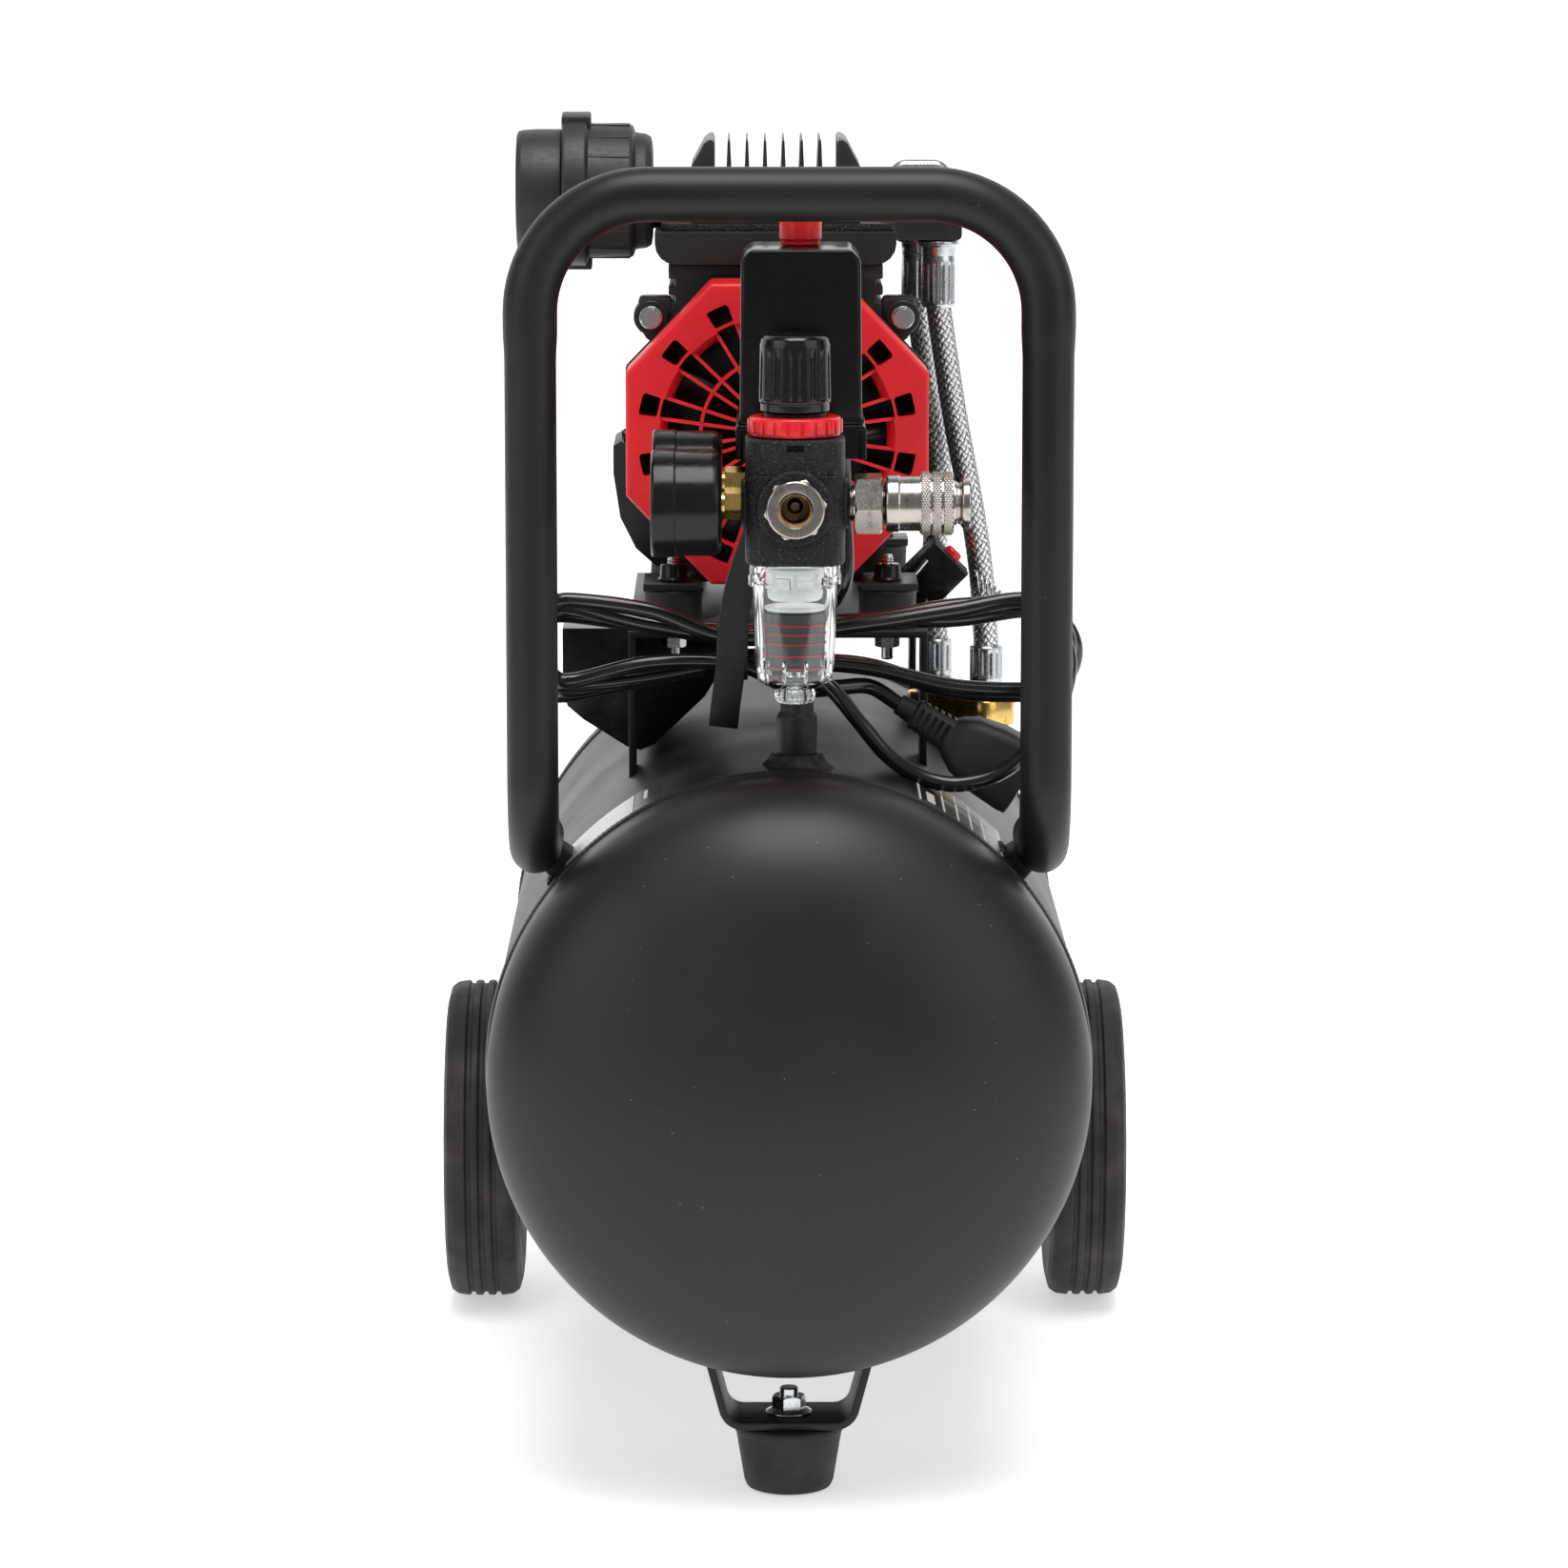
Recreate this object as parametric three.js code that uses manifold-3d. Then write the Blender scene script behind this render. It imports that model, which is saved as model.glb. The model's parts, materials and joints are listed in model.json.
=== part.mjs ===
// Portable direct-drive air compressor on a two-wheeled tank, in millimetres.
// X is across the machine, -Y is the end with the handle and the outlets, +Z is up.
// The origin is on the floor, under the middle of the tank.
import * as THREE from 'three';
import { mergeVertices } from 'three/addons/utils/BufferGeometryUtils.js';
import Module from 'manifold-3d';

const wasm = await Module();
wasm.setup();

// ---- driving dimensions -------------------------------------------------------------------
const GAP = 0.3; // clearance kept between two touching pieces

const TANK = { radius: 125, wall: 3, z: 180, half: 202, dome: 62, seam: 178 };
const BEAD = 1.6; // height of the weld bead round each tank seam

const HANDLE = { radius: 10.9, halfWidth: 105.3, y: -195, barZ: 544.3, runZ: 271, endY: -127 };
const HANDLE_BEND = 48; // centreline radius of the two upper corners
const HANDLE_FOOT_BEND = 35; // centreline radius where the legs turn back along the tank

const WHEEL = { radius: 75, inner: 124, outer: 159, y: 179, rim: 52, bore: 6.3, hub: 15 };
const FOOT = { y: -172, height: 28, topRadius: 22.8, bottomRadius: 18.3 };

const PLATFORM = { left: -68.5, right: 60.5, front: -60, back: 152, top: 348.5, sheet: 3 };
const MOUNT = { left: -49.2, right: 43.5, front: -40, back: 130, radius: 13.4, height: 16 };

const SHAFT = { x: -4.3, z: 433 }; // the motor and crank axis runs along Y
const CRANK = { throw: 7, pinRadius: 5, pinBack: 25, pinFront: 8, webRadius: 16 };
const BORE = { y: 16, radius: 21.5 }; // the cylinder axis is vertical, above the shaft

const FAN_COVER = { halfWidth: 65.1, halfHeight: 64.9, topHalf: 28.5, sideHalf: 26.5, front: -55, back: -22 };

const RISER = { x: 3.5, y: -152, radius: 8.5 };
const SWITCH = { x: 4.8, halfWidth: 26.7, depth: 54, base: 435.2, split: 449.3, top: 520.7 };
const REGULATOR = { x: 2.2, y: -208, half: 20.2, bottom: 396.3, top: 447.5, portZ: 420 };
const GAUGE = { radius: 21.8, dialX: -56.2, backX: -27.5, rearY: -163.5, rearZ: 424 };
const COUPLER = { y: REGULATOR.y, z: REGULATOR.portZ, start: 22.7, end: 73.6 };

const HANK = { left: -101, right: 124, bottom: 327, top: 368, front: -122, back: -90 };
const LEAD_RADIUS = 3.4;

// ---- geometry helpers ---------------------------------------------------------------------
const X = new THREE.Vector3(1, 0, 0);
const Y = new THREE.Vector3(0, 1, 0);
const Z = new THREE.Vector3(0, 0, 1);

// Each entry carries a flat drawing (across, up) and its depth onto the model's axes.
const DRAWN_ALONG = {
  x: new THREE.Matrix4().makeBasis(Y, Z, X),
  y: new THREE.Matrix4().makeBasis(X, Z, Y),
  z: new THREE.Matrix4().makeBasis(X, Y, Z),
};
// Each entry carries a lathe's own Y axis onto one of the model's axes.
const TURNED_ABOUT = {
  x: new THREE.Matrix4().makeBasis(Y, X, Z),
  y: new THREE.Matrix4(),
  z: new THREE.Matrix4().makeBasis(X, Z, Y),
};

// A closed manifold made from a geometry, turned the right way out.
function toSolid(geometry) {
  const bare = geometry.clone();
  for (const name of ['normal', 'uv']) {
    bare.deleteAttribute(name);
  }
  const welded = mergeVertices(bare, 1e-3);
  const position = welded.attributes.position.array;
  const index = welded.index.array;
  const triangles = [];
  let volume = 0;
  const [a, b, c] = [new THREE.Vector3(), new THREE.Vector3(), new THREE.Vector3()];
  for (let i = 0; i < index.length; i += 3) {
    const [p, q, r] = [index[i], index[i + 1], index[i + 2]];
    if (p === q || q === r || r === p) {
      continue;
    }
    triangles.push(p, q, r);
    a.fromArray(position, 3 * p);
    b.fromArray(position, 3 * q);
    c.fromArray(position, 3 * r);
    volume += a.dot(b.cross(c));
  }
  if (volume < 0) {
    triangles.reverse();
  }
  return new wasm.Manifold(new wasm.Mesh({
    numProp: 3,
    vertProperties: new Float32Array(position),
    triVerts: new Uint32Array(triangles),
  }));
}

function toGeometry(solid) {
  const mesh = solid.getMesh();
  const geometry = new THREE.BufferGeometry();
  geometry.setAttribute('position', new THREE.BufferAttribute(new Float32Array(mesh.vertProperties), 3));
  geometry.setIndex(new THREE.BufferAttribute(new Uint32Array(mesh.triVerts), 1));
  return geometry;
}

function join(first, ...others) {
  return toGeometry(others.reduce((whole, other) => whole.add(toSolid(other)), toSolid(first)));
}

function cut(body, ...tools) {
  return toGeometry(tools.reduce((left, tool) => left.subtract(toSolid(tool)), toSolid(body)));
}

// A round body: profile points are [radius, position along the axis]. A ring's profile is closed here.
function turned(profile, axis = 'z', at = [0, 0, 0], segments = 16) {
  const points = profile.map(([radius, along]) => new THREE.Vector2(radius, along));
  const onAxis = points[0].x === 0 && points[points.length - 1].x === 0;
  if (!onAxis) {
    points.push(points[0].clone());
  }
  return new THREE.LatheGeometry(points, segments).applyMatrix4(TURNED_ABOUT[axis]).translate(...at);
}

function rod(radius, from, to, axis = 'z', at = [0, 0, 0], segments = 14) {
  return turned([[0, from], [radius, from], [radius, to], [0, to]], axis, at, segments);
}

function tube(outer, inner, from, to, axis = 'z', at = [0, 0, 0], segments = 16) {
  return turned([[outer, from], [outer, to], [inner, to], [inner, from]], axis, at, segments);
}

// A hexagon is a six-sided rod whose flats are 2 * radius * cos(30 degrees) apart.
function hexagon(radius, from, to, axis = 'z', at = [0, 0, 0]) {
  return rod(radius, from, to, axis, at, 6);
}

function prism(outline, from, to, axis = 'z', at = [0, 0, 0]) {
  const shape = outline instanceof THREE.Shape
    ? outline
    : new THREE.Shape(outline.map(([across, up]) => new THREE.Vector2(across, up)));
  return new THREE.ExtrudeGeometry(shape, { depth: to - from, bevelEnabled: false, curveSegments: 2 })
    .translate(0, 0, from)
    .applyMatrix4(DRAWN_ALONG[axis])
    .translate(...at);
}

// A rectangle with rounded corners, between (left, bottom) and (right, top).
function rounded(left, right, bottom, top, radius) {
  const shape = new THREE.Shape();
  shape.moveTo(left + radius, bottom);
  shape.lineTo(right - radius, bottom);
  shape.absarc(right - radius, bottom + radius, radius, -Math.PI / 2, 0);
  shape.lineTo(right, top - radius);
  shape.absarc(right - radius, top - radius, radius, 0, Math.PI / 2);
  shape.lineTo(left + radius, top);
  shape.absarc(left + radius, top - radius, radius, Math.PI / 2, Math.PI);
  shape.lineTo(left, bottom + radius);
  shape.absarc(left + radius, bottom + radius, radius, Math.PI, 1.5 * Math.PI);
  return shape;
}

function block(x0, x1, y0, y1, z0, z1, radius = 0) {
  const outline = radius > 0 ? rounded(x0, x1, z0, z1, radius) : [[x0, z0], [x1, z0], [x1, z1], [x0, z1]];
  return prism(outline, y0, y1, 'y');
}

// A path of chosen stations, so that rings are spent on the bends and not on the straights.
class Route extends THREE.Curve {
  constructor(stations) {
    super();
    this.stations = stations;
  }
  at(u) {
    return this.stations[Math.round(u * (this.stations.length - 1))];
  }
  getPoint(u) {
    return this.at(u).point.clone();
  }
  getPointAt(u) {
    return this.at(u).point.clone();
  }
  getTangentAt(u) {
    return this.at(u).tangent.clone();
  }
}

// Straight runs between the corners, each corner rounded to its radius with an arc of so many steps.
function bent(corners, radii, steps) {
  const points = corners.map((corner) => new THREE.Vector3(...corner));
  const direction = (i) => points[i + 1].clone().sub(points[i]).normalize();
  const stations = [{ point: points[0], tangent: direction(0) }];
  for (let i = 1; i < points.length - 1; i += 1) {
    const into = direction(i - 1);
    const out = direction(i);
    const angle = into.angleTo(out);
    const radius = radii[i - 1];
    const reach = radius * Math.tan(angle / 2);
    const inward = out.clone().addScaledVector(into, -into.dot(out)).normalize();
    const start = points[i].clone().addScaledVector(into, -reach);
    const centre = start.clone().addScaledVector(inward, radius);
    for (let step = 0; step <= steps; step += 1) {
      const turn = angle * (step / steps);
      stations.push({
        point: centre.clone()
          .addScaledVector(inward, -radius * Math.cos(turn))
          .addScaledVector(into, radius * Math.sin(turn)),
        tangent: into.clone().multiplyScalar(Math.cos(turn)).addScaledVector(inward, Math.sin(turn)),
      });
    }
  }
  stations.push({ point: points[points.length - 1], tangent: direction(points.length - 2) });
  return new Route(stations);
}

// A smooth path through the points, cut into equal steps.
function smooth(points, steps) {
  const curve = new THREE.CatmullRomCurve3(points.map((point) => new THREE.Vector3(...point)));
  const stations = [];
  for (let step = 0; step <= steps; step += 1) {
    const u = step / steps;
    stations.push({ point: curve.getPointAt(u), tangent: curve.getTangentAt(u) });
  }
  return new Route(stations);
}

function pipe(route, radius, sides) {
  const corners = Array.from({ length: sides }, (_, side) => {
    const turn = (2 * Math.PI * side) / sides;
    return new THREE.Vector2(radius * Math.cos(turn), radius * Math.sin(turn));
  });
  const ring = new THREE.Shape(corners);
  return new THREE.ExtrudeGeometry(ring, {
    steps: route.stations.length - 1,
    extrudePath: route,
    bevelEnabled: false,
  });
}

// ---- finishes -----------------------------------------------------------------------------
const FINISH = {
  blackPaint: { color: 0x1b1a1a, roughness: 0.42, metalness: 0.0 },
  blackPlastic: { color: 0x161616, roughness: 0.5, metalness: 0.0 },
  blackCasting: { color: 0x1d1d1e, roughness: 0.55, metalness: 0.1 },
  blackTexture: { color: 0x141414, roughness: 0.75, metalness: 0.0 },
  greyPlastic: { color: 0x37383a, roughness: 0.6, metalness: 0.0 },
  redPlastic: { color: 0xcf1a22, roughness: 0.4, metalness: 0.0 },
  rubber: { color: 0x1f1b1a, roughness: 0.8, metalness: 0.0 },
  aluminium: { color: 0xb5b7b8, roughness: 0.38, metalness: 1.0 },
  steel: { color: 0xa9abac, roughness: 0.32, metalness: 1.0 },
  nickel: { color: 0xc4bfb5, roughness: 0.22, metalness: 1.0 },
  brass: { color: 0xb58d3d, roughness: 0.3, metalness: 1.0 },
  braid: { color: 0xb0b1b2, roughness: 0.4, metalness: 1.0 },
  clear: { color: 0xdfe3e4, roughness: 0.1, metalness: 0.0 },
  cable: { color: 0x101010, roughness: 0.3, metalness: 0.0 },
};

const model = new THREE.Group();
model.name = 'air_compressor';

function piece(name, finish, geometry) {
  const solid = toGeometry(toSolid(geometry));
  solid.computeVertexNormals();
  const mesh = new THREE.Mesh(solid, new THREE.MeshStandardMaterial(FINISH[finish]));
  mesh.name = name;
  model.add(mesh);
}

// ---- tank ---------------------------------------------------------------------------------
const TANK_SEGMENTS = 36;

// Height of a cylinder of this radius about the tank axis, at a distance x from the middle.
function tankTop(x, radius = TANK.radius) {
  return TANK.z + Math.sqrt(radius * radius - x * x);
}

function tankRod(radius, reach = 300) {
  return rod(radius, -reach, reach, 'y', [0, 0, TANK.z], TANK_SEGMENTS);
}

// A welded boss: a short cone through the shell, trimmed flush with the inside of the tank.
function boss(radius, topRadius, x, y, top, bottom) {
  const cone = turned([[0, bottom], [radius, bottom], [topRadius, top], [0, top]], 'z', [x, y, 0], 20);
  return cut(cone, tankRod(TANK.radius - TANK.wall));
}

const VALVE_BOSS = { x: 79, y: 62.5, radius: 12, top: 292, bottom: 255, bore: 6.3 };
const RISER_BOSS = { radius: 13.5, topRadius: 11, top: 309.4, bore: RISER.radius + GAP };
const DRAIN_BOSS = { x: 0, y: 40, radius: 11, bottom: 49, bore: 5.3 };

function tankShell() {
  const half = TANK.seam - GAP;
  const inner = TANK.radius - TANK.wall;
  const shell = tube(TANK.radius, inner, -half, half, 'y', [0, 0, TANK.z], TANK_SEGMENTS);
  const riser = boss(RISER_BOSS.radius, RISER_BOSS.topRadius, RISER.x, RISER.y, RISER_BOSS.top, 296);
  const valve = boss(
    VALVE_BOSS.radius, VALVE_BOSS.radius, VALVE_BOSS.x, VALVE_BOSS.y, VALVE_BOSS.top, VALVE_BOSS.bottom,
  );
  const drain = boss(DRAIN_BOSS.radius, DRAIN_BOSS.radius, DRAIN_BOSS.x, DRAIN_BOSS.y, 62, DRAIN_BOSS.bottom);
  return cut(
    join(shell, riser, valve, drain),
    rod(RISER_BOSS.bore, 290, 320, 'z', [RISER.x, RISER.y, 0]),
    rod(VALVE_BOSS.bore, 240, 300, 'z', [VALVE_BOSS.x, VALVE_BOSS.y, 0]),
    rod(DRAIN_BOSS.bore, 40, 70, 'z', [DRAIN_BOSS.x, DRAIN_BOSS.y, 0]),
  );
}

// A dished end: a short skirt, a weld bead against the shell and half an ellipse.
function dome(side) {
  const STEPS = 5;
  const inner = TANK.radius - TANK.wall;
  const outerCurve = [];
  const innerCurve = [];
  for (let step = 0; step <= STEPS; step += 1) {
    const turn = (Math.PI / 2) * (step / STEPS);
    const depth = Math.sin(turn);
    const across = step === STEPS ? 0 : Math.cos(turn);
    outerCurve.push([TANK.radius * across, TANK.half + TANK.dome * depth]);
    innerCurve.unshift([inner * across, TANK.half + (TANK.dome - TANK.wall) * depth]);
  }
  const bead = [
    [TANK.radius + BEAD, TANK.seam],
    [TANK.radius + BEAD, TANK.seam + 3],
    [TANK.radius, TANK.seam + 6],
  ];
  const skirt = [[inner, TANK.seam]];
  const profile = [...innerCurve, ...skirt, ...bead, ...outerCurve];
  return turned(profile.map(([r, along]) => [r, side * along]), 'y', [0, 0, TANK.z], TANK_SEGMENTS);
}

// One tube bent into a hoop, with a weld plate from each end of it down to the tank.
function handle() {
  const { halfWidth, y, barZ, runZ, endY, radius } = HANDLE;
  const corners = [
    [-halfWidth, endY, runZ], [-halfWidth, y, runZ], [-halfWidth, y, barZ],
    [halfWidth, y, barZ], [halfWidth, y, runZ], [halfWidth, endY, runZ],
  ];
  const radii = [HANDLE_FOOT_BEND, HANDLE_BEND, HANDLE_BEND, HANDLE_FOOT_BEND];
  const hoop = pipe(bent(corners, radii, 5), radius, 12);
  const plates = [-1, 1].map((side) => {
    const away = new THREE.Vector2(side * halfWidth, runZ - TANK.z).normalize();
    const along = new THREE.Vector2(-away.y, away.x).multiplyScalar(5);
    const near = away.clone().multiplyScalar(TANK.radius - 2);
    const far = new THREE.Vector2(side * halfWidth, runZ - TANK.z);
    const outline = [
      [near.x - along.x, near.y - along.y], [far.x - along.x, far.y - along.y],
      [far.x + along.x, far.y + along.y], [near.x + along.x, near.y + along.y],
    ];
    return prism(outline, -155, endY - 4, 'y', [0, 0, TANK.z]);
  });
  return cut(join(hoop, ...plates), tankRod(TANK.radius + GAP));
}

const DRAIN_SCREW = { top: 58, collar: DRAIN_BOSS.bottom - GAP, neck: 44, wing: 32 };

// Wing screw in the lowest boss of the tank.
function drainScrew() {
  const at = [DRAIN_BOSS.x, DRAIN_BOSS.y, 0];
  const { top, collar, neck, wing } = DRAIN_SCREW;
  const stem = turned([
    [0, wing], [3, wing], [3, neck], [8, neck], [8, collar], [5, collar], [5, top], [0, top],
  ], 'z', at, 12);
  const wings = prism([[-11, wing - 2], [11, wing - 2], [7, neck + 1], [-7, neck + 1]], -1.5, 1.5, 'y', at);
  return join(stem, wings);
}

piece('tank_shell', 'blackPaint', tankShell());
piece('tank_dome_front', 'blackPaint', dome(-1));
piece('tank_dome_rear', 'blackPaint', dome(1));
piece('handle', 'blackPaint', handle());
piece('drain_screw', 'brass', drainScrew());

// ---- front foot ---------------------------------------------------------------------------
const STRAP = { sheet: 3.4, width: 36, bottomHalf: 25, topHalf: 36, bottom: FOOT.height + GAP, top: 66 };
const FOOT_BOLT = { shank: 4, flange: 9, head: 7 };

// A sheet strap welded under the tank; its open middle is where the bolt is reached.
function footBracket() {
  const { sheet, width, bottomHalf, topHalf, bottom, top } = STRAP;
  const outer = [[-topHalf, top], [-bottomHalf, bottom], [bottomHalf, bottom], [topHalf, top]];
  const inner = [
    [-topHalf + sheet, top + 1], [-bottomHalf + sheet, bottom + sheet],
    [bottomHalf - sheet, bottom + sheet], [topHalf - sheet, top + 1],
  ];
  const front = FOOT.y - width / 2;
  const back = FOOT.y + width / 2;
  return cut(
    prism(outer, front, back, 'y'),
    prism(inner, front - 1, back + 1, 'y'),
    tankRod(TANK.radius + BEAD + GAP),
    rod(FOOT_BOLT.shank + GAP, bottom - 1, bottom + 10, 'z', [0, FOOT.y, 0]),
  );
}

function rubberFoot() {
  const { height, topRadius, bottomRadius } = FOOT;
  const hole = FOOT_BOLT.shank + GAP;
  const recess = 9;
  const profile = [
    [hole, height], [topRadius, height], [topRadius, height - 2],
    [bottomRadius, 1.5], [bottomRadius - 1.5, 0],
    [recess, 0], [recess, 12], [hole, 12],
  ];
  return turned(profile, 'z', [0, FOOT.y, 0], 20);
}

function footBolt() {
  const seat = STRAP.bottom + STRAP.sheet + GAP;
  const { shank, flange, head } = FOOT_BOLT;
  const at = [0, FOOT.y, 0];
  return join(
    turned([
      [0, 6], [shank, 6], [shank, seat], [flange, seat], [flange, seat + 2], [0, seat + 2],
    ], 'z', at, 12),
    hexagon(head, seat + 1, seat + 9, 'z', at),
  );
}

piece('foot_bracket', 'blackPaint', footBracket());
piece('rubber_foot', 'rubber', rubberFoot());
piece('foot_bolt', 'steel', footBolt());

// ---- wheels -------------------------------------------------------------------------------
const AXLE_BRACKET = { plate: 120, sheet: 3.2, top: 113, bottom: 50, halfWidth: 25 };
const AXLE = { radius: 6, capRadius: 11, hubEnd: 152 };

// A folded sheet that stands off the tank and carries one stub axle.
function axleBracket(side) {
  const { plate, sheet, top, bottom, halfWidth } = AXLE_BRACKET;
  const outer = [[98, top], [plate, top], [plate, bottom], [78, 80.5]];
  const inner = [[96, top - sheet], [plate - sheet, top - sheet], [plate - sheet, bottom + 5.5], [76, 85.5]];
  const mirrored = (outline) => outline.map(([x, z]) => [side * x, z]);
  const front = WHEEL.y - halfWidth;
  const back = WHEEL.y + halfWidth;
  return cut(
    prism(mirrored(outer), front, back, 'y'),
    prism(mirrored(inner), front - 1, back + 1, 'y'),
    tankRod(TANK.radius + BEAD + GAP),
    rod(WHEEL.bore, -140, 140, 'x', [0, WHEEL.y, WHEEL.radius]),
  );
}

// Stub axle: a nut inside the bracket, the plain shank and a round cap over the hub.
function axleBolt(side) {
  const { sheet, plate } = AXLE_BRACKET;
  const { radius, capRadius, hubEnd } = AXLE;
  const at = [0, WHEEL.y, WHEEL.radius];
  const nutFace = plate - sheet - GAP;
  const shank = rod(radius, nutFace - 1, hubEnd + 2, 'x', at, 14);
  const nut = hexagon(10, nutFace - 8, nutFace, 'x', at);
  const cap = turned([
    [0, hubEnd + GAP], [capRadius, hubEnd + GAP], [capRadius - 1, hubEnd + 4], [6, 158], [0, 158],
  ], 'x', at, 14);
  const bolt = join(shank, nut, cap);
  return side > 0 ? bolt : bolt.scale(-1, 1, 1);
}

const WHEEL_SEGMENTS = 28;

function tyre(side) {
  const { radius, inner, outer, rim } = WHEEL;
  const shoulder = 5;
  const groove = 2.5;
  const middle = (inner + outer) / 2;
  const profile = [
    [rim + GAP, inner + 3], [radius - 8, inner], [radius - 1.2, inner + shoulder],
    [radius, middle - 5], [radius - groove, middle - 4], [radius - groove, middle + 4], [radius, middle + 5],
    [radius - 1.2, outer - shoulder], [radius - 8, outer], [rim + GAP, outer - 3],
  ];
  return turned(profile.map(([r, x]) => [r, side * x]), 'x', [0, WHEEL.y, radius], WHEEL_SEGMENTS);
}

// A moulded rim: a thin barrel, a web across its middle and a hub.
function rim(side) {
  const { radius, inner, rim: barrel, bore, hub } = WHEEL;
  const start = inner + 4;
  const end = WHEEL.outer - 4;
  const web = 140;
  const profile = [
    [bore, inner - 1.5], [hub, inner - 1.5], [hub, web],
    [barrel - 4, web], [barrel - 4, start], [barrel, start],
    [barrel, end], [barrel - 4, end], [barrel - 4, web + 4],
    [hub, web + 4], [hub, AXLE.hubEnd], [bore, AXLE.hubEnd],
  ];
  return turned(profile.map(([r, x]) => [r, side * x]), 'x', [0, WHEEL.y, radius], WHEEL_SEGMENTS);
}

for (const [side, name] of [[-1, 'left'], [1, 'right']]) {
  piece(`axle_bracket_${name}`, 'blackPaint', axleBracket(side));
  piece(`axle_bolt_${name}`, 'steel', axleBolt(side));
  piece(`tyre_${name}`, 'rubber', tyre(side));
  piece(`rim_${name}`, 'blackPlastic', rim(side));
}

// ---- platform and its rubber mounts ---------------------------------------------------------
const MOUNT_PLACES = [
  ['front_left', MOUNT.left, MOUNT.front], ['front_right', MOUNT.right, MOUNT.front],
  ['rear_left', MOUNT.left, MOUNT.back], ['rear_right', MOUNT.right, MOUNT.back],
];
const STUD = 3;
const LEG_WIDTH = 28;

// A plate on four sheet legs: an inverted channel with a wide window in both flanges.
function platform() {
  const { left, right, front, back, top, sheet } = PLATFORM;
  const outer = [[left, 270], [right, 270], [right, top], [left, top]];
  const inner = [
    [left + sheet, 269], [right - sheet, 269], [right - sheet, top - sheet], [left + sheet, top - sheet],
  ];
  const window = block(left - 1, right + 1, front + LEG_WIDTH, back - LEG_WIDTH, 260, top - sheet - 0.2);
  const studHoles = MOUNT_PLACES.map(([, x, y]) => rod(STUD + GAP, top - 10, top + 10, 'z', [x, y, 0], 12));
  return cut(
    prism(outer, front, back, 'y'),
    prism(inner, front - 1, back + 1, 'y'),
    window,
    tankRod(TANK.radius + GAP),
    ...studHoles,
  );
}

// Rubber buffer bonded to a stud that runs through the platform and the lug of the pump.
function mount(x, y) {
  const base = PLATFORM.top + GAP;
  const top = base + MOUNT.height;
  const profile = [
    [0, base - 11], [STUD, base - 11], [STUD, base], [MOUNT.radius, base], [MOUNT.radius, top],
    [STUD, top], [STUD, top + 15], [0, top + 15],
  ];
  return turned(profile, 'z', [x, y, 0], 14);
}

piece('platform', 'blackPaint', platform());
for (const [name, x, y] of MOUNT_PLACES) {
  piece(`mount_${name}`, 'rubber', mount(x, y));
}

// ---- motor and pump -------------------------------------------------------------------------
const LUG = { bottom: PLATFORM.top + 2 * GAP + MOUNT.height, thickness: 3, reach: 13 };
const onShaft = [SHAFT.x, 0, SHAFT.z];

// Two flat lugs, one over each mount at this end of the pump, running back as far as they are told.
function lugs(y, back, inward) {
  const { bottom, thickness, reach } = LUG;
  const { left, right } = MOUNT;
  return [[left - reach, left + inward, left], [right - inward, right + reach, right]]
    .map(([from, to, x]) => cut(
      block(from, to, y - reach, back, bottom, bottom + thickness),
      rod(STUD + GAP, bottom - 5, bottom + 10, 'z', [x, y, 0], 12),
    ));
}

const CRANKCASE = { halfWidth: 48, bottom: 372, top: 478.4, front: -20, back: 52, wall: 6 };

// The front casting: crank chamber below the cylinder, bolt ears at its shoulders, front lugs.
function crankcase() {
  const { halfWidth, bottom, top, front, back, wall } = CRANKCASE;
  const left = SHAFT.x - halfWidth;
  const right = SHAFT.x + halfWidth;
  const ears = block(SHAFT.x - 59, SHAFT.x + 59, front + 2, front + 20, 469, 487, 8);
  const foot = block(left + 10, right - 10, front + 1, back, LUG.bottom, bottom + 4);
  const shell = block(left, right, front, back, bottom, top, 14);
  const body = join(shell, ears, foot, ...lugs(MOUNT.front, front + 8, 11.5));
  return cut(
    body,
    block(left + wall, right - wall, front + wall, back - wall, bottom + wall + 2, top - 8, 10),
    rod(BORE.radius + 3, top - 20, top + 20, 'z', [SHAFT.x, BORE.y, 0], 24),
    rod(7 + GAP, front - 30, back + 10, 'y', onShaft),
    block(left - 20, right + 20, front - 1, back + 1, top, top + 30),
  );
}

const MOTOR = { radius: 56, bore: 50, front: CRANKCASE.back + GAP, back: 150 };

// Outline of the terminal box at the lower left of the motor, measured from the shaft.
const TERMINAL_BOX = [
  [-40, -13], [-68, -13], [-73, -16], [-73, -28], [-70, -48], [-63, -62], [-54, -70], [-40, -70],
];

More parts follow.
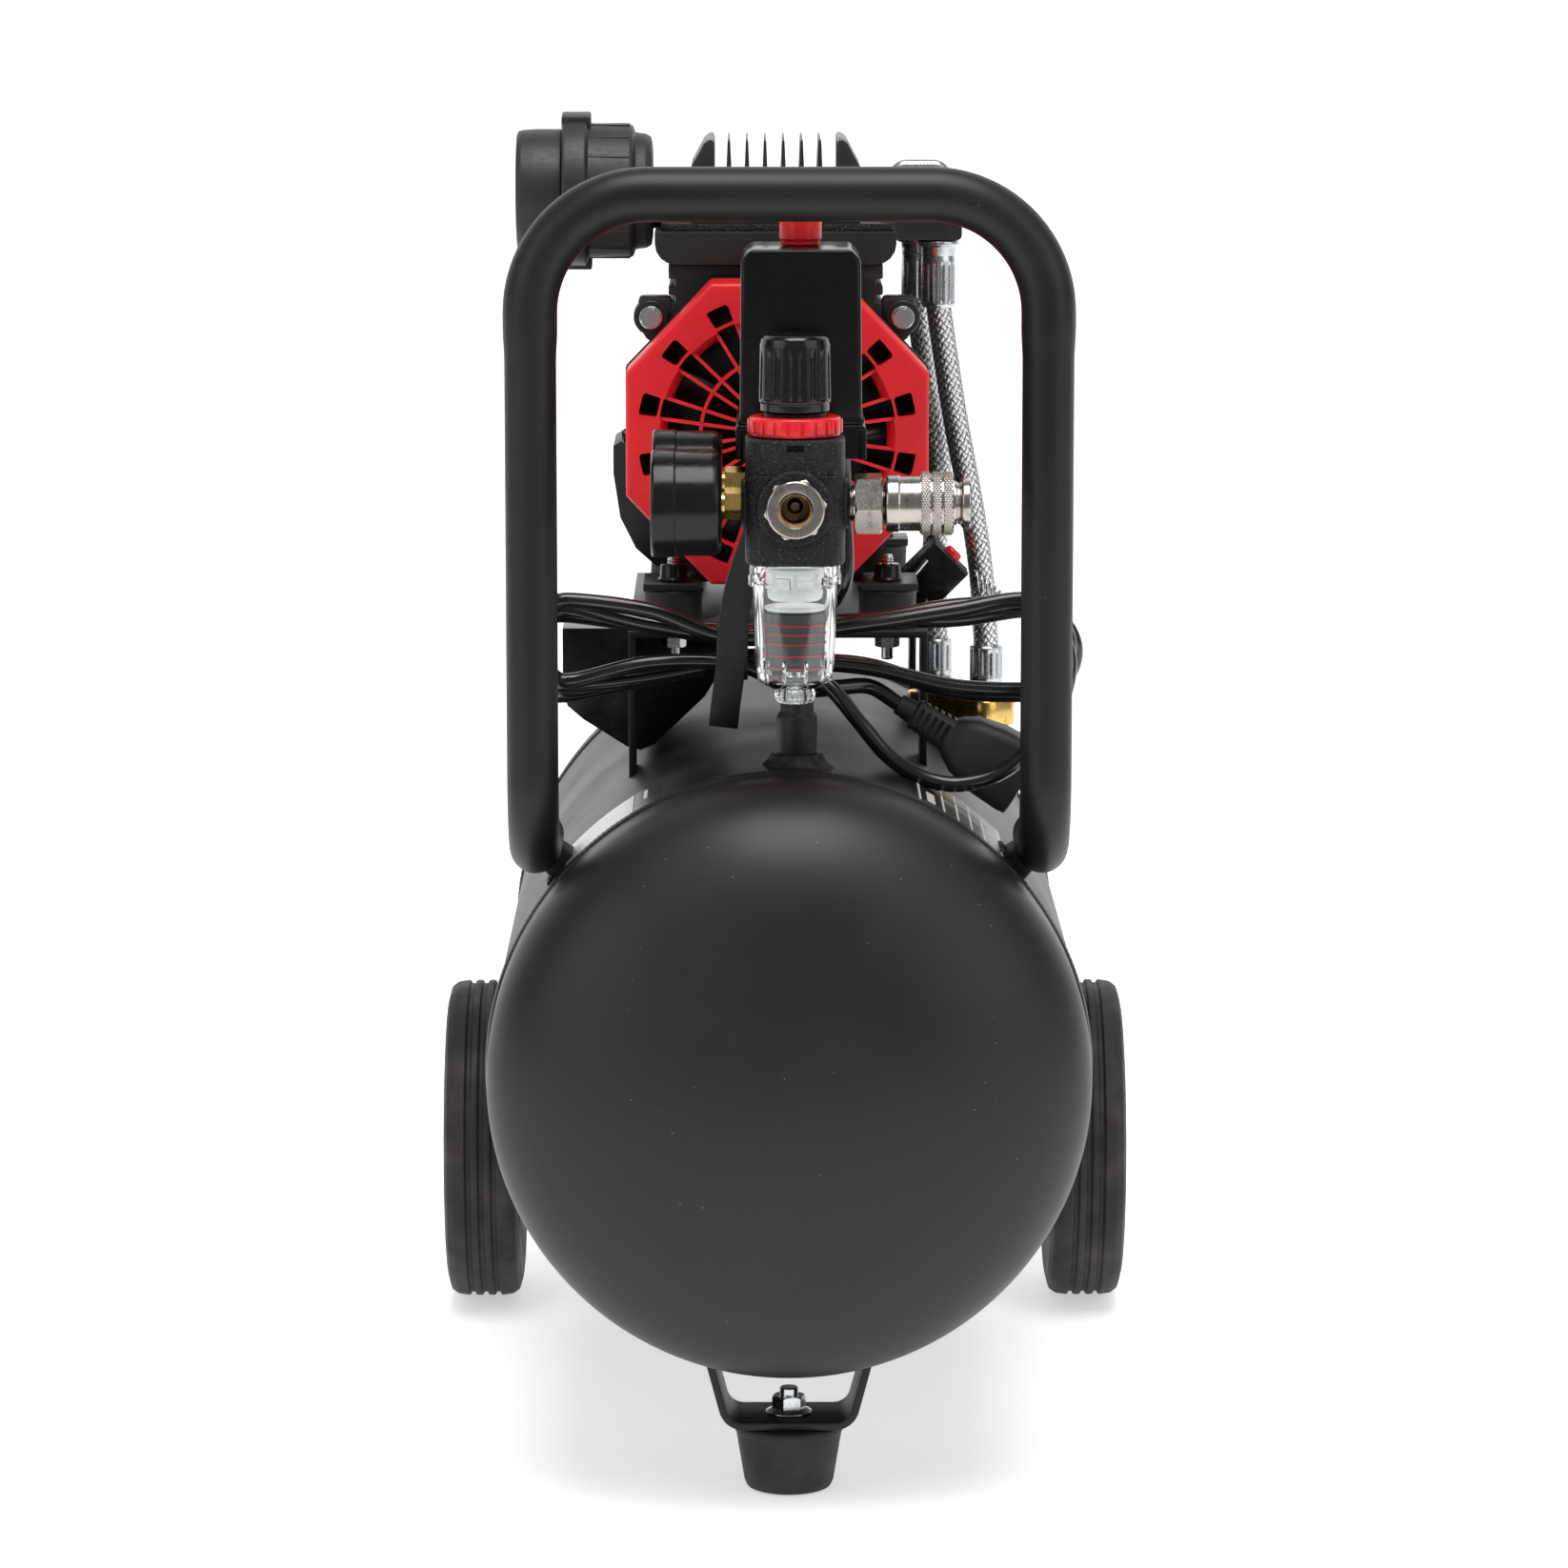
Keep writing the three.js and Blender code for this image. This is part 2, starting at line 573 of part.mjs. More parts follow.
// Barrel of the motor with its closed, vented rear end, rear lugs and a terminal box at its side.
function motorHousing() {
  const { radius, bore, front, back } = MOTOR;
  const barrel = tube(radius, bore, front, back, 'y', onShaft, 24);
  const end = cut(
    rod(radius - 1, back - 5, back, 'y', onShaft, 24),
    rod(7 + GAP, back - 10, back + 10, 'y', onShaft),
    ...[0, 1, 2, 3, 4, 5].map((slot) => {
      const turn = (Math.PI / 3) * slot;
      const centre = [SHAFT.x + 30 * Math.cos(turn), 0, SHAFT.z + 30 * Math.sin(turn)];
      return rod(9, back - 10, back + 10, 'y', centre, 8);
    }),
  );
  const { reach } = LUG;
  const foot = block(SHAFT.x - 30, SHAFT.x + 30, MOUNT.back - reach, MOUNT.back + reach, LUG.bottom, 381);
  const box = cut(
    prism(TERMINAL_BOX, front + 4, front + 60, 'y', onShaft),
    rod(radius - 2, front - 5, back + 5, 'y', onShaft, 24),
  );
  return join(barrel, end, foot, box, ...lugs(MOUNT.back, MOUNT.back + LUG.reach, 20));
}

// Stator core and windings, pressed into the barrel.
function stator() {
  return tube(MOTOR.bore - GAP, 29, MOTOR.front + 12, MOTOR.back - 18, 'y', onShaft, 24);
}

// Shaft, rotor core and crank in one line: the pin hangs at the bottom of its turn.
function rotor() {
  const { throw: offset, pinRadius, pinFront, pinBack, webRadius } = CRANK;
  const shaft = rod(7, pinBack + 2, MOTOR.back + 3, 'y', onShaft, 16);
  const core = rod(28.5, MOTOR.front + 14, MOTOR.back - 20, 'y', onShaft, 24);
  const web = rod(webRadius, pinBack, pinBack + 8, 'y', onShaft, 24);
  const pin = rod(pinRadius, pinFront - 8, pinBack + 2, 'y', [SHAFT.x, 0, SHAFT.z - offset], 16);
  const frontWeb = rod(webRadius, pinFront - 10, pinFront - 2, 'y', onShaft, 24);
  const nose = rod(7, FAN.hubFront + 2, pinFront - 8, 'y', onShaft, 16);
  return join(shaft, core, web, pin, frontWeb, nose);
}

const FAN = { blades: 7, radius: 52, front: -48, back: -27, hubFront: -50, hubRadius: 13 };

function fan() {
  const { blades, radius, front, back, hubFront, hubRadius } = FAN;
  const hub = rod(hubRadius, hubFront, back, 'y', [0, 0, 0], 14);
  const bladeLength = radius - hubRadius + 2;
  const middle = (front + back) / 2;
  const leaves = Array.from({ length: blades }, (_, blade) => {
    const leaf = new THREE.BoxGeometry(bladeLength, back - front - 4, 2.4);
    leaf.rotateX(Math.PI / 5);
    leaf.translate(hubRadius - 2 + bladeLength / 2, 0, 0);
    leaf.rotateY((2 * Math.PI * blade) / blades);
    return leaf.translate(0, middle, 0);
  });
  return cut(join(hub, ...leaves), rod(7 + GAP, hubFront - 1, back + 1, 'y')).translate(...onShaft);
}

const GRILLE = { sectors: 16, inner: 16, ring: 33, outer: 57, rib: 2.4 };

function octagon(inset) {
  const { halfWidth, halfHeight, topHalf, sideHalf } = FAN_COVER;
  const [w, h] = [halfWidth - inset, halfHeight - inset];
  const [t, s] = [topHalf - 0.4 * inset, sideHalf - 0.4 * inset];
  return [[-t, h], [-w, s], [-w, -s], [-t, -h], [t, -h], [w, -s], [w, s], [t, h]];
}

// One opening of the grille: part of a ring between two ribs.
function grilleWindow(sector, from, to) {
  const half = Math.PI / GRILLE.sectors;
  const turn = 2 * half * (sector + 0.5);
  const corner = (radius, side) => {
    const swing = half - GRILLE.rib / 2 / radius;
    return [radius * Math.cos(turn + side * swing), radius * Math.sin(turn + side * swing)];
  };
  const outline = [corner(from, -1), corner(to, -1), corner(to, 1), corner(from, 1)];
  return prism(outline, FAN_COVER.front - 1, FAN_COVER.front + 6, 'y', onShaft);
}

function fanCover() {
  const { front, back } = FAN_COVER;
  const shell = cut(
    prism(octagon(0), front, back, 'y', onShaft),
    prism(octagon(2.5), front + 3, back + 1, 'y', onShaft),
  );
  const windows = [];
  for (let sector = 0; sector < GRILLE.sectors; sector += 1) {
    windows.push(grilleWindow(sector, GRILLE.inner, GRILLE.ring - GRILLE.rib / 2));
    windows.push(grilleWindow(sector, GRILLE.ring + GRILLE.rib / 2, GRILLE.outer));
  }
  return cut(shell, ...windows);
}

const CYLINDER = { left: -51.4, right: 41.8, front: -16, back: 48, top: 503.4 };

function cylinder() {
  const { left, right, front, back, top } = CYLINDER;
  const bottom = CRANKCASE.top + GAP;
  const grooves = [487, 494].flatMap((z) => [
    block(left - 1, left + 3, front - 1, back + 1, z, z + 3),
    block(right - 3, right + 1, front - 1, back + 1, z, z + 3),
  ]);
  const spigot = rod(BORE.radius + 2.5, 452, bottom + 1, 'z', [SHAFT.x, BORE.y, 0], 24);
  return cut(
    join(block(left, right, front, back, bottom, top), spigot),
    rod(BORE.radius, 440, top + 5, 'z', [SHAFT.x, BORE.y, 0], 24),
    ...grooves,
  );
}

const ROD = { length: 30, bigEnd: 10, smallEnd: 6, front: 9, back: 23 };
const PIN_Z = SHAFT.z - CRANK.throw;

function connectingRod() {
  const wristZ = PIN_Z + ROD.length;
  const { front, back, bigEnd, smallEnd } = ROD;
  const shank = block(-3.5, 3.5, front + 3, back - 3, PIN_Z + 6, wristZ - 3).translate(SHAFT.x, 0, 0);
  return cut(
    join(
      rod(bigEnd, front, back, 'y', [SHAFT.x, 0, PIN_Z], 14),
      rod(smallEnd, front, back, 'y', [SHAFT.x, 0, wristZ], 12),
      shank,
    ),
    rod(CRANK.pinRadius + GAP, front - 1, back + 1, 'y', [SHAFT.x, 0, PIN_Z], 16),
    rod(2.5, front - 1, back + 1, 'y', [SHAFT.x, 0, wristZ], 10),
  );
}

// A deep cup: the rod's upper end swings inside it.
function piston() {
  const outer = BORE.radius - GAP;
  const crown = PIN_Z + ROD.length + ROD.smallEnd + 2 * CRANK.throw + 1;
  const skirt = 450;
  const profile = [
    [0, crown], [outer - 3, crown], [outer - 3, skirt], [outer, skirt], [outer, crown + 4], [0, crown + 4],
  ];
  return turned(profile, 'z', [SHAFT.x, BORE.y, 0], 24);
}

const VALVE_BLOCK = { left: -57.2, right: 47.5, bottom: 503.7, top: 518, front: -24, back: 56 };
const OUTLET = { left: 42, right: 77, front: 12, back: 56, top: 541, bottom: 512 };

// The block under the head, with the two-way outlet moulded on its right.
function valveBlock() {
  const { left, right, bottom, top, front, back } = VALVE_BLOCK;
  const plate = cut(
    block(left, right, front, back, bottom, top + 10, 9),
    block(left - 1, right + 1, front - 1, back + 1, top, top + 20),
  );
  const ports = [-14, 14].map((offset) => (
    rod(5, bottom - 1, top + 1, 'z', [SHAFT.x + offset, BORE.y, 0], 14)
  ));
  const outlet = block(OUTLET.left, OUTLET.right, OUTLET.front, OUTLET.back, OUTLET.bottom, OUTLET.top, 2);
  return cut(
    join(plate, outlet),
    ...ports,
    rod(4, OUTLET.bottom - 1, OUTLET.top - 8, 'z', [HOSES.front[0][0], HOSES.front[0][1], 0], 12),
    rod(4, OUTLET.bottom - 1, OUTLET.top - 8, 'z', [HOSES.rear[0][0], HOSES.rear[0][1], 0], 12),
  );
}

const HEAD = {
  left: -41.5, right: 32, base: VALVE_BLOCK.top + GAP, floor: 536, top: 557.4, front: -20, back: 52,
};
const THIN_FINS = { count: 6, pitch: 7.94, fromStout: 7.4 };

// Finned head: six thin tapering fins between two stout, chamfered ones.
function cylinderHead() {
  const { left, right, base, floor, top, front, back } = HEAD;
  const stout = 10.1;
  const outline = [
    [left, base], [right, base], [right, top - 11],
    [right - 6, top - 1], [right - 8, top], [right - stout, top],
  ];
  outline.push([right - stout, floor]);
  for (let fin = 0; fin < THIN_FINS.count; fin += 1) {
    const x = right - stout - THIN_FINS.fromStout - fin * THIN_FINS.pitch;
    outline.push([x + 1.4, floor], [x + 0.5, top - 2], [x - 0.5, top - 2], [x - 1.4, floor]);
  }
  outline.push([left + stout, floor], [left + stout, top]);
  outline.push([left + 8, top], [left + 6, top - 1], [left, top - 11]);
  const chambers = [[left + 6, SHAFT.x - 2], [SHAFT.x + 2, right - 6]].map(([from, to]) => (
    block(from, to, front + 8, back - 8, base - 1, base + 11)
  ));
  return cut(
    prism(outline, front, back, 'y'),
    ...chambers,
    rod(5, left - 1, left + 12, 'x', [0, FILTER.y, FILTER.z], 12),
  );
}

const FILTER = { y: 16, z: 526, capZ: 533.4, left: -118, split: -98, right: -66.4, neck: HEAD.left - GAP };

// Intake filter: a round case on a neck that plugs into the side of the head.
function filterHousing() {
  const { y, z, capZ, split, right, neck } = FILTER;
  const at = [0, y, capZ];
  const barrel = turned([
    [29, right - 3], [29, split + 11], [34.1, split + 11],
    [34.1, split + 0.2], [26, split + 0.2], [26, right - 3],
  ], 'x', at, 24);
  const back = turned([
    [0, right - 4], [29, right - 4], [29, right], [24.5, right + 8], [0, right + 8],
  ], 'x', at, 24);
  return cut(
    join(barrel, back, rod(7, right, neck, 'x', [0, y, z], 16)),
    rod(4.5, right - 10, neck + 2, 'x', [0, y, z], 12),
  );
}

function filterCap() {
  const { y, capZ, left, split } = FILTER;
  const slots = Array.from({ length: 4 }, (_, slot) => {
    const turn = (Math.PI / 2) * slot;
    return rod(3, left - 2, left + 6, 'x', [0, y + 14 * Math.cos(turn), capZ + 14 * Math.sin(turn)], 8);
  });
  const cap = turned([
    [0, left], [25.5, left], [26.5, left + 2], [27, split - GAP],
    [23.5, split - GAP], [23, left + 4], [0, left + 4],
  ], 'x', [0, y, capZ], 24);
  return cut(cap, ...slots);
}

const CAPACITOR = { front: -24, back: 66, left: -98, top: PLATFORM.top - PLATFORM.sheet - GAP, wall: 2.5 };

// A case that hangs under the platform and leans to follow the tank below it.
function capacitorCase() {
  const { front, back, left, top, wall } = CAPACITOR;
  const outer = [
    [left, top], [left, 318], [left + 2, 311], [-89, 305], [-70, 293], [-64, 291.4], [-58, 294],
    [-36, 315], [-31, 323], [-30, top],
  ];
  const inner = [
    [left + wall, top - wall], [left + wall, 319], [left + 4, 314], [-88, 308], [-69, 296], [-64, 294.6],
    [-60, 296], [-38, 317], [-34, 324], [-33, top - wall],
  ];
  return cut(
    prism(outer, front, back, 'y'),
    prism(inner, front + wall, back - wall, 'y'),
    rod(4, back - 5, back + 1, 'y', [-70, 0, 322], 12),
  );
}

const OVERLOAD = { x: 66, z: 363.8, side: 20, front: 14, back: 42 };

// A small square case set on its corner, with the reset button in its upper right face.
function overloadCase() {
  const { x, z, side, front, back } = OVERLOAD;
  const half = side / Math.SQRT2;
  const wall = 2.5;
  const diamond = (reach) => [[x, z + reach], [x - reach, z], [x, z - reach], [x + reach, z]];
  const foot = block(x - 17, x - 4, front + 4, back - 4, PLATFORM.top + GAP, PLATFORM.top + 7);
  const bore = rod(BUTTON.radius + GAP, 0, side, 'x', [0, 0, 0], 14).rotateY(-Math.PI / 4)
    .translate(x, (front + back) / 2, z);
  return cut(
    join(prism(diamond(half), front, back, 'y'), foot),
    prism(diamond(half - wall * Math.SQRT2), front + wall, back - wall, 'y'),
    bore,
  );
}

const BUTTON = { radius: 4, inside: 3.5, tip: 13.5 };

function resetButton() {
  const { x, z, front, back } = OVERLOAD;
  return rod(BUTTON.radius, BUTTON.inside, BUTTON.tip, 'x', [0, 0, 0], 14)
    .rotateY(-Math.PI / 4)
    .translate(x, (front + back) / 2, z);
}

// ---- hoses and check valve ------------------------------------------------------------------
const HOSES = {
  front: [[67, 22, 484], [74.2, 30, 437], [82.5, 38, 393], [87.5, 44, 360], [90, 50, 326]],
  rear: [[58.7, 45, 484], [63, 47, 450], [68.2, 50, 413], [67, 60, 369], [67.5, 73, 342], [68, 75, 326]],
};
const HOSE_RADIUS = 5.2;
const CHECK_VALVE = { bottom: VALVE_BOSS.top + GAP, top: 304, halfWidth: 11 };

// Braided hose with a swaged ferrule and a nut at both ends.
function hose(points) {
  const first = points[0];
  const last = points[points.length - 1];
  const upper = OUTLET.bottom - GAP;
  const lower = CHECK_VALVE.top + GAP;
  const run = [[first[0], first[1], first[2] + 10], ...points, [last[0], last[1], last[2] - 10]];
  const fitting = ([x, y], nutFace, end, side) => turned([
    [0, nutFace], [8.2, nutFace], [8.2, nutFace + side * 8], [7.4, nutFace + side * 8],
    [7.4, end], [0, end],
  ], 'z', [x, y, 0], 12);
  return join(
    pipe(smooth(run, 14), HOSE_RADIUS, 8),
    fitting(first, upper, first[2] - 2, -1),
    fitting(last, lower, last[2] + 2, 1),
  );
}

// Two inlets side by side above one outlet into the tank.
function checkValve() {
  const [fx, fy] = HOSES.front[HOSES.front.length - 1];
  const [rx, ry] = HOSES.rear[HOSES.rear.length - 1];
  const { bottom, top, halfWidth } = CHECK_VALVE;
  const reach = Math.hypot(fx - rx, fy - ry) / 2 + halfWidth;
  const body = prism(rounded(-reach, reach, -halfWidth, halfWidth, 7), bottom, top)
    .rotateZ(Math.atan2(ry - fy, rx - fx))
    .translate(VALVE_BOSS.x, VALVE_BOSS.y, 0);
  const spigot = rod(VALVE_BOSS.bore - GAP, 268, bottom + 1, 'z', [VALVE_BOSS.x, VALVE_BOSS.y, 0], 16);
  return cut(
    join(body, spigot),
    rod(3.5, 260, bottom + 5, 'z', [VALVE_BOSS.x, VALVE_BOSS.y, 0], 12),
    rod(3, bottom + 3, top + 1, 'z', [fx, fy, 0], 12),
  );
}

piece('crankcase', 'blackCasting', crankcase());
piece('motor_housing', 'blackCasting', motorHousing());
piece('stator', 'steel', stator());
piece('rotor', 'steel', rotor());
piece('fan', 'blackPlastic', fan());
piece('fan_cover', 'redPlastic', fanCover());
piece('cylinder', 'blackCasting', cylinder());
piece('connecting_rod', 'aluminium', connectingRod());
piece('piston', 'aluminium', piston());
piece('valve_block', 'blackCasting', valveBlock());
piece('cylinder_head', 'aluminium', cylinderHead());
piece('filter_housing', 'greyPlastic', filterHousing());
piece('filter_cap', 'greyPlastic', filterCap());
piece('capacitor_case', 'blackPlastic', capacitorCase());
piece('overload_case', 'blackPlastic', overloadCase());
piece('reset_button', 'redPlastic', resetButton());
piece('hose_front', 'braid', hose(HOSES.front));
piece('hose_rear', 'braid', hose(HOSES.rear));
piece('check_valve', 'brass', checkValve());

// ---- riser, pressure switch and safety valve --------------------------------------------------
const CROSS = { left: -14, right: 20, front: -174, back: -134, bottom: 408, top: 431 };
const SAFETY = { z: 417, end: -108, ringRadius: 8 };

// One welded stem: riser, the cross under the switch, the nipple to the regulator, the safety valve body.
function riser() {
  const { left, right, front, back, bottom, top } = CROSS;
  const at = [RISER.x, RISER.y, 0];
  const stem = turned([
    [0, 301], [RISER.radius, 301], [RISER.radius, 325], [7, 327], [7, bottom + 1], [0, bottom + 1],
  ], 'z', at, 18);
  const neck = rod(7, top - 1, SWITCH.base - GAP, 'z', at, 18);
  const { x, y, half, portZ } = REGULATOR;
  const nipple = rod(6, y + half + GAP, front + 1, 'y', [x, 0, portZ], 16);
  const valve = rod(7, back - 1, SAFETY.end - 10, 'y', [RISER.x, 0, SAFETY.z], 16);
  return cut(
    join(stem, block(left, right, front, back, bottom, top, 4), neck, nipple, valve),
    rod(4, 300, top - 8, 'z', at, 12),
    rod(2.6, back + 6, SAFETY.end, 'y', [RISER.x, 0, SAFETY.z], 12),
  );
}

// The pull ring of the safety valve on its short stem.
function safetyRing() {
  const at = [RISER.x, 0, SAFETY.z];
  const stem = rod(2.2, SAFETY.end - 18, SAFETY.end - 2, 'y', at, 10);
  const { ringRadius, end, z } = SAFETY;
  const ring = tube(ringRadius, ringRadius - 2.4, -1.2, 1.2, 'x', [RISER.x, end + 4.5, z], 14);
  return join(stem, ring);
}

// The lead leaves through a gland at the back of the switch.
const GLAND = { x: 22, z: 441.5, end: RISER.y + SWITCH.depth / 2 + 5 };

function switchBase() {
  const { x, halfWidth, depth, base, split } = SWITCH;
  const back = RISER.y + depth / 2;
  const plate = block(x - halfWidth, x + halfWidth, RISER.y - depth / 2 - 1, back + 1, base, split - GAP, 2);
  const gland = rod(6, back, GLAND.end, 'y', [GLAND.x, 0, GLAND.z]);
  const inside = block(x - halfWidth + 6, x + halfWidth - 6, RISER.y - 18, RISER.y + 18, base + 5, split + 1);
  return cut(join(plate, gland), inside);
}

const SWITCH_KNOB = { radius: 8.8, stem: 4, tip: SWITCH.top + 13 };

// The cover: a hollow box whose upper edge is chamfered, open below.
function switchCover() {
  const { x, halfWidth, depth, split, top } = SWITCH;
  const half = halfWidth - 2.2;
  const chamfer = 4;
  const wall = 2.2;
  const outline = (inset, low) => [
    [x - half - 0.6 + inset, low], [x + half + 0.6 - inset, low], [x + half - inset, top - chamfer - inset],
    [x + half - chamfer - inset, top - inset], [x - half + chamfer + inset, top - inset],
    [x - half + inset, top - chamfer - inset],
  ];
  const front = RISER.y - depth / 2;
  const back = RISER.y + depth / 2;
  return cut(
    prism(outline(0, split), front, back, 'y'),
    prism(outline(wall, split - 1), front + wall, back - wall, 'y'),
    rod(SWITCH_KNOB.stem + GAP, top - 10, top + 10, 'z', [x, RISER.y, 0], 16),
  );
}

function switchKnob() {
  const { radius, stem, tip } = SWITCH_KNOB;
  const { x, top } = SWITCH;
  const under = top + GAP;
  const profile = [
    [0, top - 22], [stem, top - 22], [stem, under],
    [radius, under], [radius, tip - 1.5], [radius - 1.5, tip], [0, tip],
  ];
  return turned(profile, 'z', [x, RISER.y, 0], 18);
}

piece('riser', 'blackCasting', riser());
piece('safety_ring', 'steel', safetyRing());
piece('switch_base', 'blackPlastic', switchBase());
piece('switch_cover', 'blackPlastic', switchCover());
piece('switch_knob', 'redPlastic', switchKnob());

// ---- filter-regulator -------------------------------------------------------------------------
const BONNET = { radius: 12.6, top: 457.4, spindle: 4.5, spindleTop: 472 };
const LOCK_RING = { radius: 19.2, inner: BONNET.radius + GAP, top: 455.7, lobes: 12 };
const KNOB = { radius: 14.7, inner: 12.2, bottom: 457.8, top: 489 };
const BOWL = { radius: 18.5, tip: 14.6, bottom: 345, top: REGULATOR.bottom - GAP, drain: 4.6 };

function regulatorBody() {
  const { x, y, half, bottom, top, portZ } = REGULATOR;
  const body = prism(rounded(x - half, x + half, y - half, y + half, 11), bottom, top);
  const bonnet = turned([
    [0, top - 1], [BONNET.radius, top - 1], [BONNET.radius, BONNET.top], [BONNET.spindle, BONNET.top],
    [BONNET.spindle, BONNET.spindleTop], [0, BONNET.spindleTop],
  ], 'z', [x, y, 0], 18);
  const port = hexagon(13.2, y - half - 7, y - half + 1, 'y', [x, 0, portZ]);
  return cut(
    join(body, bonnet, port),
    rod(7, y - half - 8, y - half + 12, 'y', [x, 0, portZ], 20),
    rod(13, bottom - 1, bottom + 8, 'z', [x, y, 0], 24),
  );
}

// A ring of soft lobes, seen as a ribbed band.
function lobedRing() {
  const { radius, inner, top, lobes } = LOCK_RING;
  const shape = [[0, radius], [0.35, radius], [0.5, radius - 1], [0.85, radius - 1]];
  const corners = [];
  for (let lobe = 0; lobe < lobes; lobe += 1) {
    for (const [part, r] of shape) {
      const turn = (2 * Math.PI * (lobe + part)) / lobes;
      corners.push([r * Math.cos(turn), r * Math.sin(turn)]);
    }
  }
  const { x, y } = REGULATOR;
  return cut(
    prism(corners, REGULATOR.top + GAP, top, 'z', [x, y, 0]),
    rod(inner, REGULATOR.top - 1, top + 1, 'z', [x, y, 0], 24),
  );
}

function regulatorKnob() {
  const { radius, inner, bottom, top } = KNOB;
  const profile = [
    [0, top], [radius - 3, top], [radius, top - 3], [radius, bottom],
    [inner, bottom], [inner, top - 5], [0, top - 5],
  ];
  return turned(profile, 'z', [REGULATOR.x, REGULATOR.y, 0], 20);
}

function bowl() {
  const { radius, tip, bottom, top, drain } = BOWL;
  const profile = [
    [radius, top], [radius, top - 12], [radius - 1.2, top - 14], [tip + 1, bottom + 6], [tip - 1, bottom],
    [drain, bottom], [drain, bottom + 3], [tip - 2.5, bottom + 3.5], [tip - 0.8, bottom + 8],
    [radius - 3, top - 14], [radius - 2.6, top],
  ];
  return turned(profile, 'z', [REGULATOR.x, REGULATOR.y, 0], 20);
}

function bowlDrain() {
  const { bottom, drain } = BOWL;
  const at = [REGULATOR.x, REGULATOR.y, 0];
  return cut(
    join(
      rod(drain - GAP, bottom - 2, bottom + 7, 'z', at, 16),
      hexagon(8.2, bottom - 6.5, bottom - GAP, 'z', at),
    ),
    rod(1.5, bottom - 9, bottom + 8, 'z', at, 10),
  );
}

// Gauge case: a shallow cup round the dial, and the square stem behind it.
function gauge(y, z, stemEnd) {
  const { radius, dialX, backX } = GAUGE;
  const cup = turned([
    [0, dialX + 6], [radius - 2, dialX + 6], [radius - 2, dialX], [radius, dialX],
    [radius, dialX + 9], [radius - 0.7, dialX + 9], [radius - 0.7, backX - 1.5],
    [radius - 2.2, backX], [0, backX],
  ], 'x', [0, y, z], 20);
  const stem = hexagon(5.6, backX - 1, stemEnd, 'x', [0, y, z]);
  return cut(join(cup, stem), rod(1.6, dialX + 4, dialX + 12, 'x', [0, y, z], 10));
}

// Pointer and its arbor, lying just under the rim of the case.
function pointer(y, z) {
  const face = GAUGE.dialX + 2.6;
  const needle = prism([[-4, -6], [4, -6], [0.9, 15], [-0.9, 15]], face, face + 1.2, 'x');
  const spindle = rod(1.3, face, GAUGE.dialX + 11, 'x', [0, 0, 0], 10);
  return join(needle, spindle).rotateX(1.25 * Math.PI).translate(0, y, z);
}

function couplerBody() {
  const { start, end, y, z } = COUPLER;
  const bore = 5;
  const collar = 8.9;
  const body = turned([
    [bore, end], [10, end], [10, end - 3.4], [collar, end - 3.4], [collar, 55.5], [11.5, 55.5], [11.5, 39],
    [7, 39], [7, start], [bore, start],
  ], 'x', [0, y, z], 16);
  const nut = cut(hexagon(13, 26.4, 37.5, 'x', [0, y, z]), rod(bore, start, end, 'x', [0, y, z], 16));
  return join(body, nut);
}

function couplerSleeve() {
  const { y, z } = COUPLER;
  const profile = [[11.8, 52.8], [13, 52.8], [13, 66.5], [9.2, 66.5], [9.2, 60], [11.8, 60]];
  return turned(profile, 'x', [0, y, z], 20);
}

piece('regulator_body', 'blackTexture', regulatorBody());
piece('regulator_ring', 'redPlastic', lobedRing());
piece('regulator_knob', 'blackPlastic', regulatorKnob());
piece('bowl', 'clear', bowl());
piece('bowl_drain', 'clear', bowlDrain());
piece('gauge_front', 'blackPlastic', gauge(REGULATOR.y, REGULATOR.portZ, REGULATOR.x - REGULATOR.half - GAP));
piece('gauge_rear', 'blackPlastic', gauge(GAUGE.rearY, GAUGE.rearZ, CROSS.left - GAP));
piece('pointer_front', 'redPlastic', pointer(REGULATOR.y, REGULATOR.portZ));
piece('pointer_rear', 'redPlastic', pointer(GAUGE.rearY, GAUGE.rearZ));
piece('coupler_body', 'nickel', couplerBody());
piece('coupler_sleeve', 'nickel', couplerSleeve());

// ---- mains lead -------------------------------------------------------------------------------
const LEAD_ROUTE = [
  [GLAND.x, GLAND.end + 2 * GAP, GLAND.z], [22, -113, GLAND.z], [23, -104, 428],
  [24, -103, 400], [24, -104, HANK.top + 2 * GAP],
];
const PLUG = { start: [47, -100, 322.6], angle: 0.55, length: 62 };

// The lead's bundle, tied at its middle: one long bar with round ends.
function hank() {
  const { left, right, bottom, top, front, back } = HANK;
  return prism(rounded(left, right, bottom, top, (top - bottom) / 2 - 0.01), front, back, 'y');
}

// Strain relief, body and two pins, pointing down and to the right.
function plug() {
  const body = turned([
    [0, 0], [4.5, 0], [6.5, 24], [13, 30], [16.5, 46], [17, PLUG.length], [0, PLUG.length],
  ], 'x', [0, 0, 0], 14);
  const { start, angle, length } = PLUG;
  const pins = [-9.5, 9.5].map((offset) => rod(2.4, length - 1, length + 16, 'x', [0, offset, 0], 10));
  return join(body, ...pins).rotateY(angle).translate(...start);
}

piece('lead', 'cable', pipe(smooth(LEAD_ROUTE, 14), LEAD_RADIUS, 8));
piece('lead_hank', 'cable', hank());
piece('plug', 'cable', plug());

export default model;
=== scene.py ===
"""Looks of the portable air compressor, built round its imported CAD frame.

Sizes are in millimetres (MM turns them into metres). Places come from the CAD nodes' boxes.
"""
import json
import math

import bmesh
import bpy
from mathutils import Matrix, Vector


